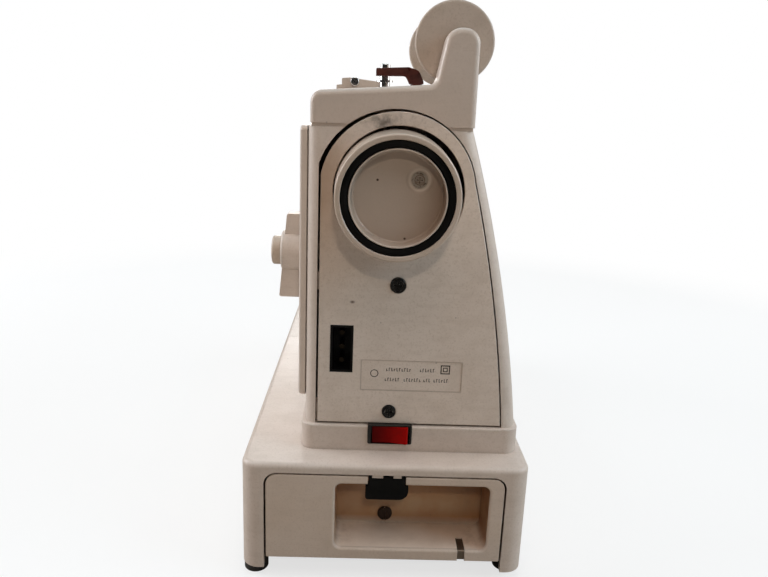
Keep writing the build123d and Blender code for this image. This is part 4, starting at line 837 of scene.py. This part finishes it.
def add_niche_strip():
    """Bent grey strip behind the slot in the niche's lower lip."""
    low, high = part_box("accessory_drawer")
    back, front = (high[0] - 13.2 * MM, high[0] - 1.0 * MM)
    top, bottom, gauge = (low[2] + 7.1 * MM, low[2] + 0.6 * MM, 0.9 * MM)
    y0, width = (low[1] + 122.1 * MM, 4.3 * MM)
    profile = [
        (back, top - gauge), (front - gauge, top - gauge), (front - gauge, bottom),
        (front, bottom), (front, top - gauge * 0.6), (front - gauge * 0.6, top), (back, top),
    ]
    outline = [(x, y0, z) for x, z in profile]
    mesh = prism_mesh("niche_strip", [(outline, (0, width, 0))], 0.12 * MM)
    grey = metal("grey_strip", (0.27, 0.23, 0.19), (0.18, 0.15, 0.12), 0.5, staining=0.4, grain=0.3)
    link_piece("niche_strip", mesh, "drawer", grey)


# label: node, height of the centre over the node's foot or None for its middle, radii of the ticks,
# count of numbers, first angle and step in degrees
DIALS = {
    "width": ("stitch_width_dial", None, (18.6, 21.4), 6, 150, -24),
    "length": ("stitch_length_knob", 30.8, (15.6, 18.0), 5, 228, -24),
}
TICK_HALF_WIDTH = 0.2
NUMBER_SIZE, NUMBER_GAP, NUMBER_EXTRUDE = (4.6, 3.2, 0.04)


def dial_tick(centre, front, turn, inner, outer):
    """Outline of one radial tick on the front panel, from millimetres round a centre in metres."""
    ray, side = ((math.cos(turn), math.sin(turn)), (-math.sin(turn), math.cos(turn)))
    half = TICK_HALF_WIDTH
    points = []
    for distance, offset in ((inner, -half), (outer, -half), (outer, half), (inner, half)):
        x = centre[0] + (distance * ray[0] + offset * side[0]) * MM
        z = centre[1] + (distance * ray[1] + offset * side[1]) * MM
        points.append((x, front + 0.02 * MM, z))
    return points


def add_number(name, digit, place, material):
    """One printed number on the front panel."""
    text = bpy.data.curves.new(name, "FONT")
    text.body = str(digit)
    text.size = NUMBER_SIZE * MM
    text.extrude = NUMBER_EXTRUDE * MM
    text.align_x, text.align_y = ("CENTER", "CENTER")
    text.materials.append(material)
    number = bpy.data.objects.new(name, text)
    number.location = place
    number.rotation_euler = (math.pi / 2, 0, 0)
    bpy.context.scene.collection.objects.link(number)
    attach(number, "frame")


def add_dial_marks():
    """Printed graduations and plain numbers round the two dials on the front panel."""
    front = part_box("control_panel")[0][1]
    material = ink("dial_ink")
    for label, (node, height, (inner, outer), count, start, step) in DIALS.items():
        low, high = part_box(node)
        centre_z = (low[2] + high[2]) / 2 if height is None else low[2] + height * MM
        centre = ((low[0] + high[0]) / 2, centre_z)
        outlines = []
        for index in range(2 * count - 1):
            turn = math.radians(start + step * index / 2)
            reach = outer if index % 2 == 0 else (inner + outer) / 2
            outlines.append((dial_tick(centre, front, turn, inner, reach), (0, -0.08 * MM, 0)))
        mesh = prism_mesh(f"{label}_ticks", outlines, 0)
        link_piece(f"{label}_ticks", mesh, "frame", material)
        distance = (outer + NUMBER_GAP) * MM
        for digit in range(count):
            turn = math.radians(start + step * digit)
            x, z = (centre[0] + distance * math.cos(turn), centre[1] + distance * math.sin(turn))
            add_number(f"{label}_number_{digit}", digit, (x, front - 0.03 * MM, z), material)


add_camera()
add_floor()
add_lights()
paint_nodes()
add_rating_marks()
add_niche_strip()
add_dial_marks()
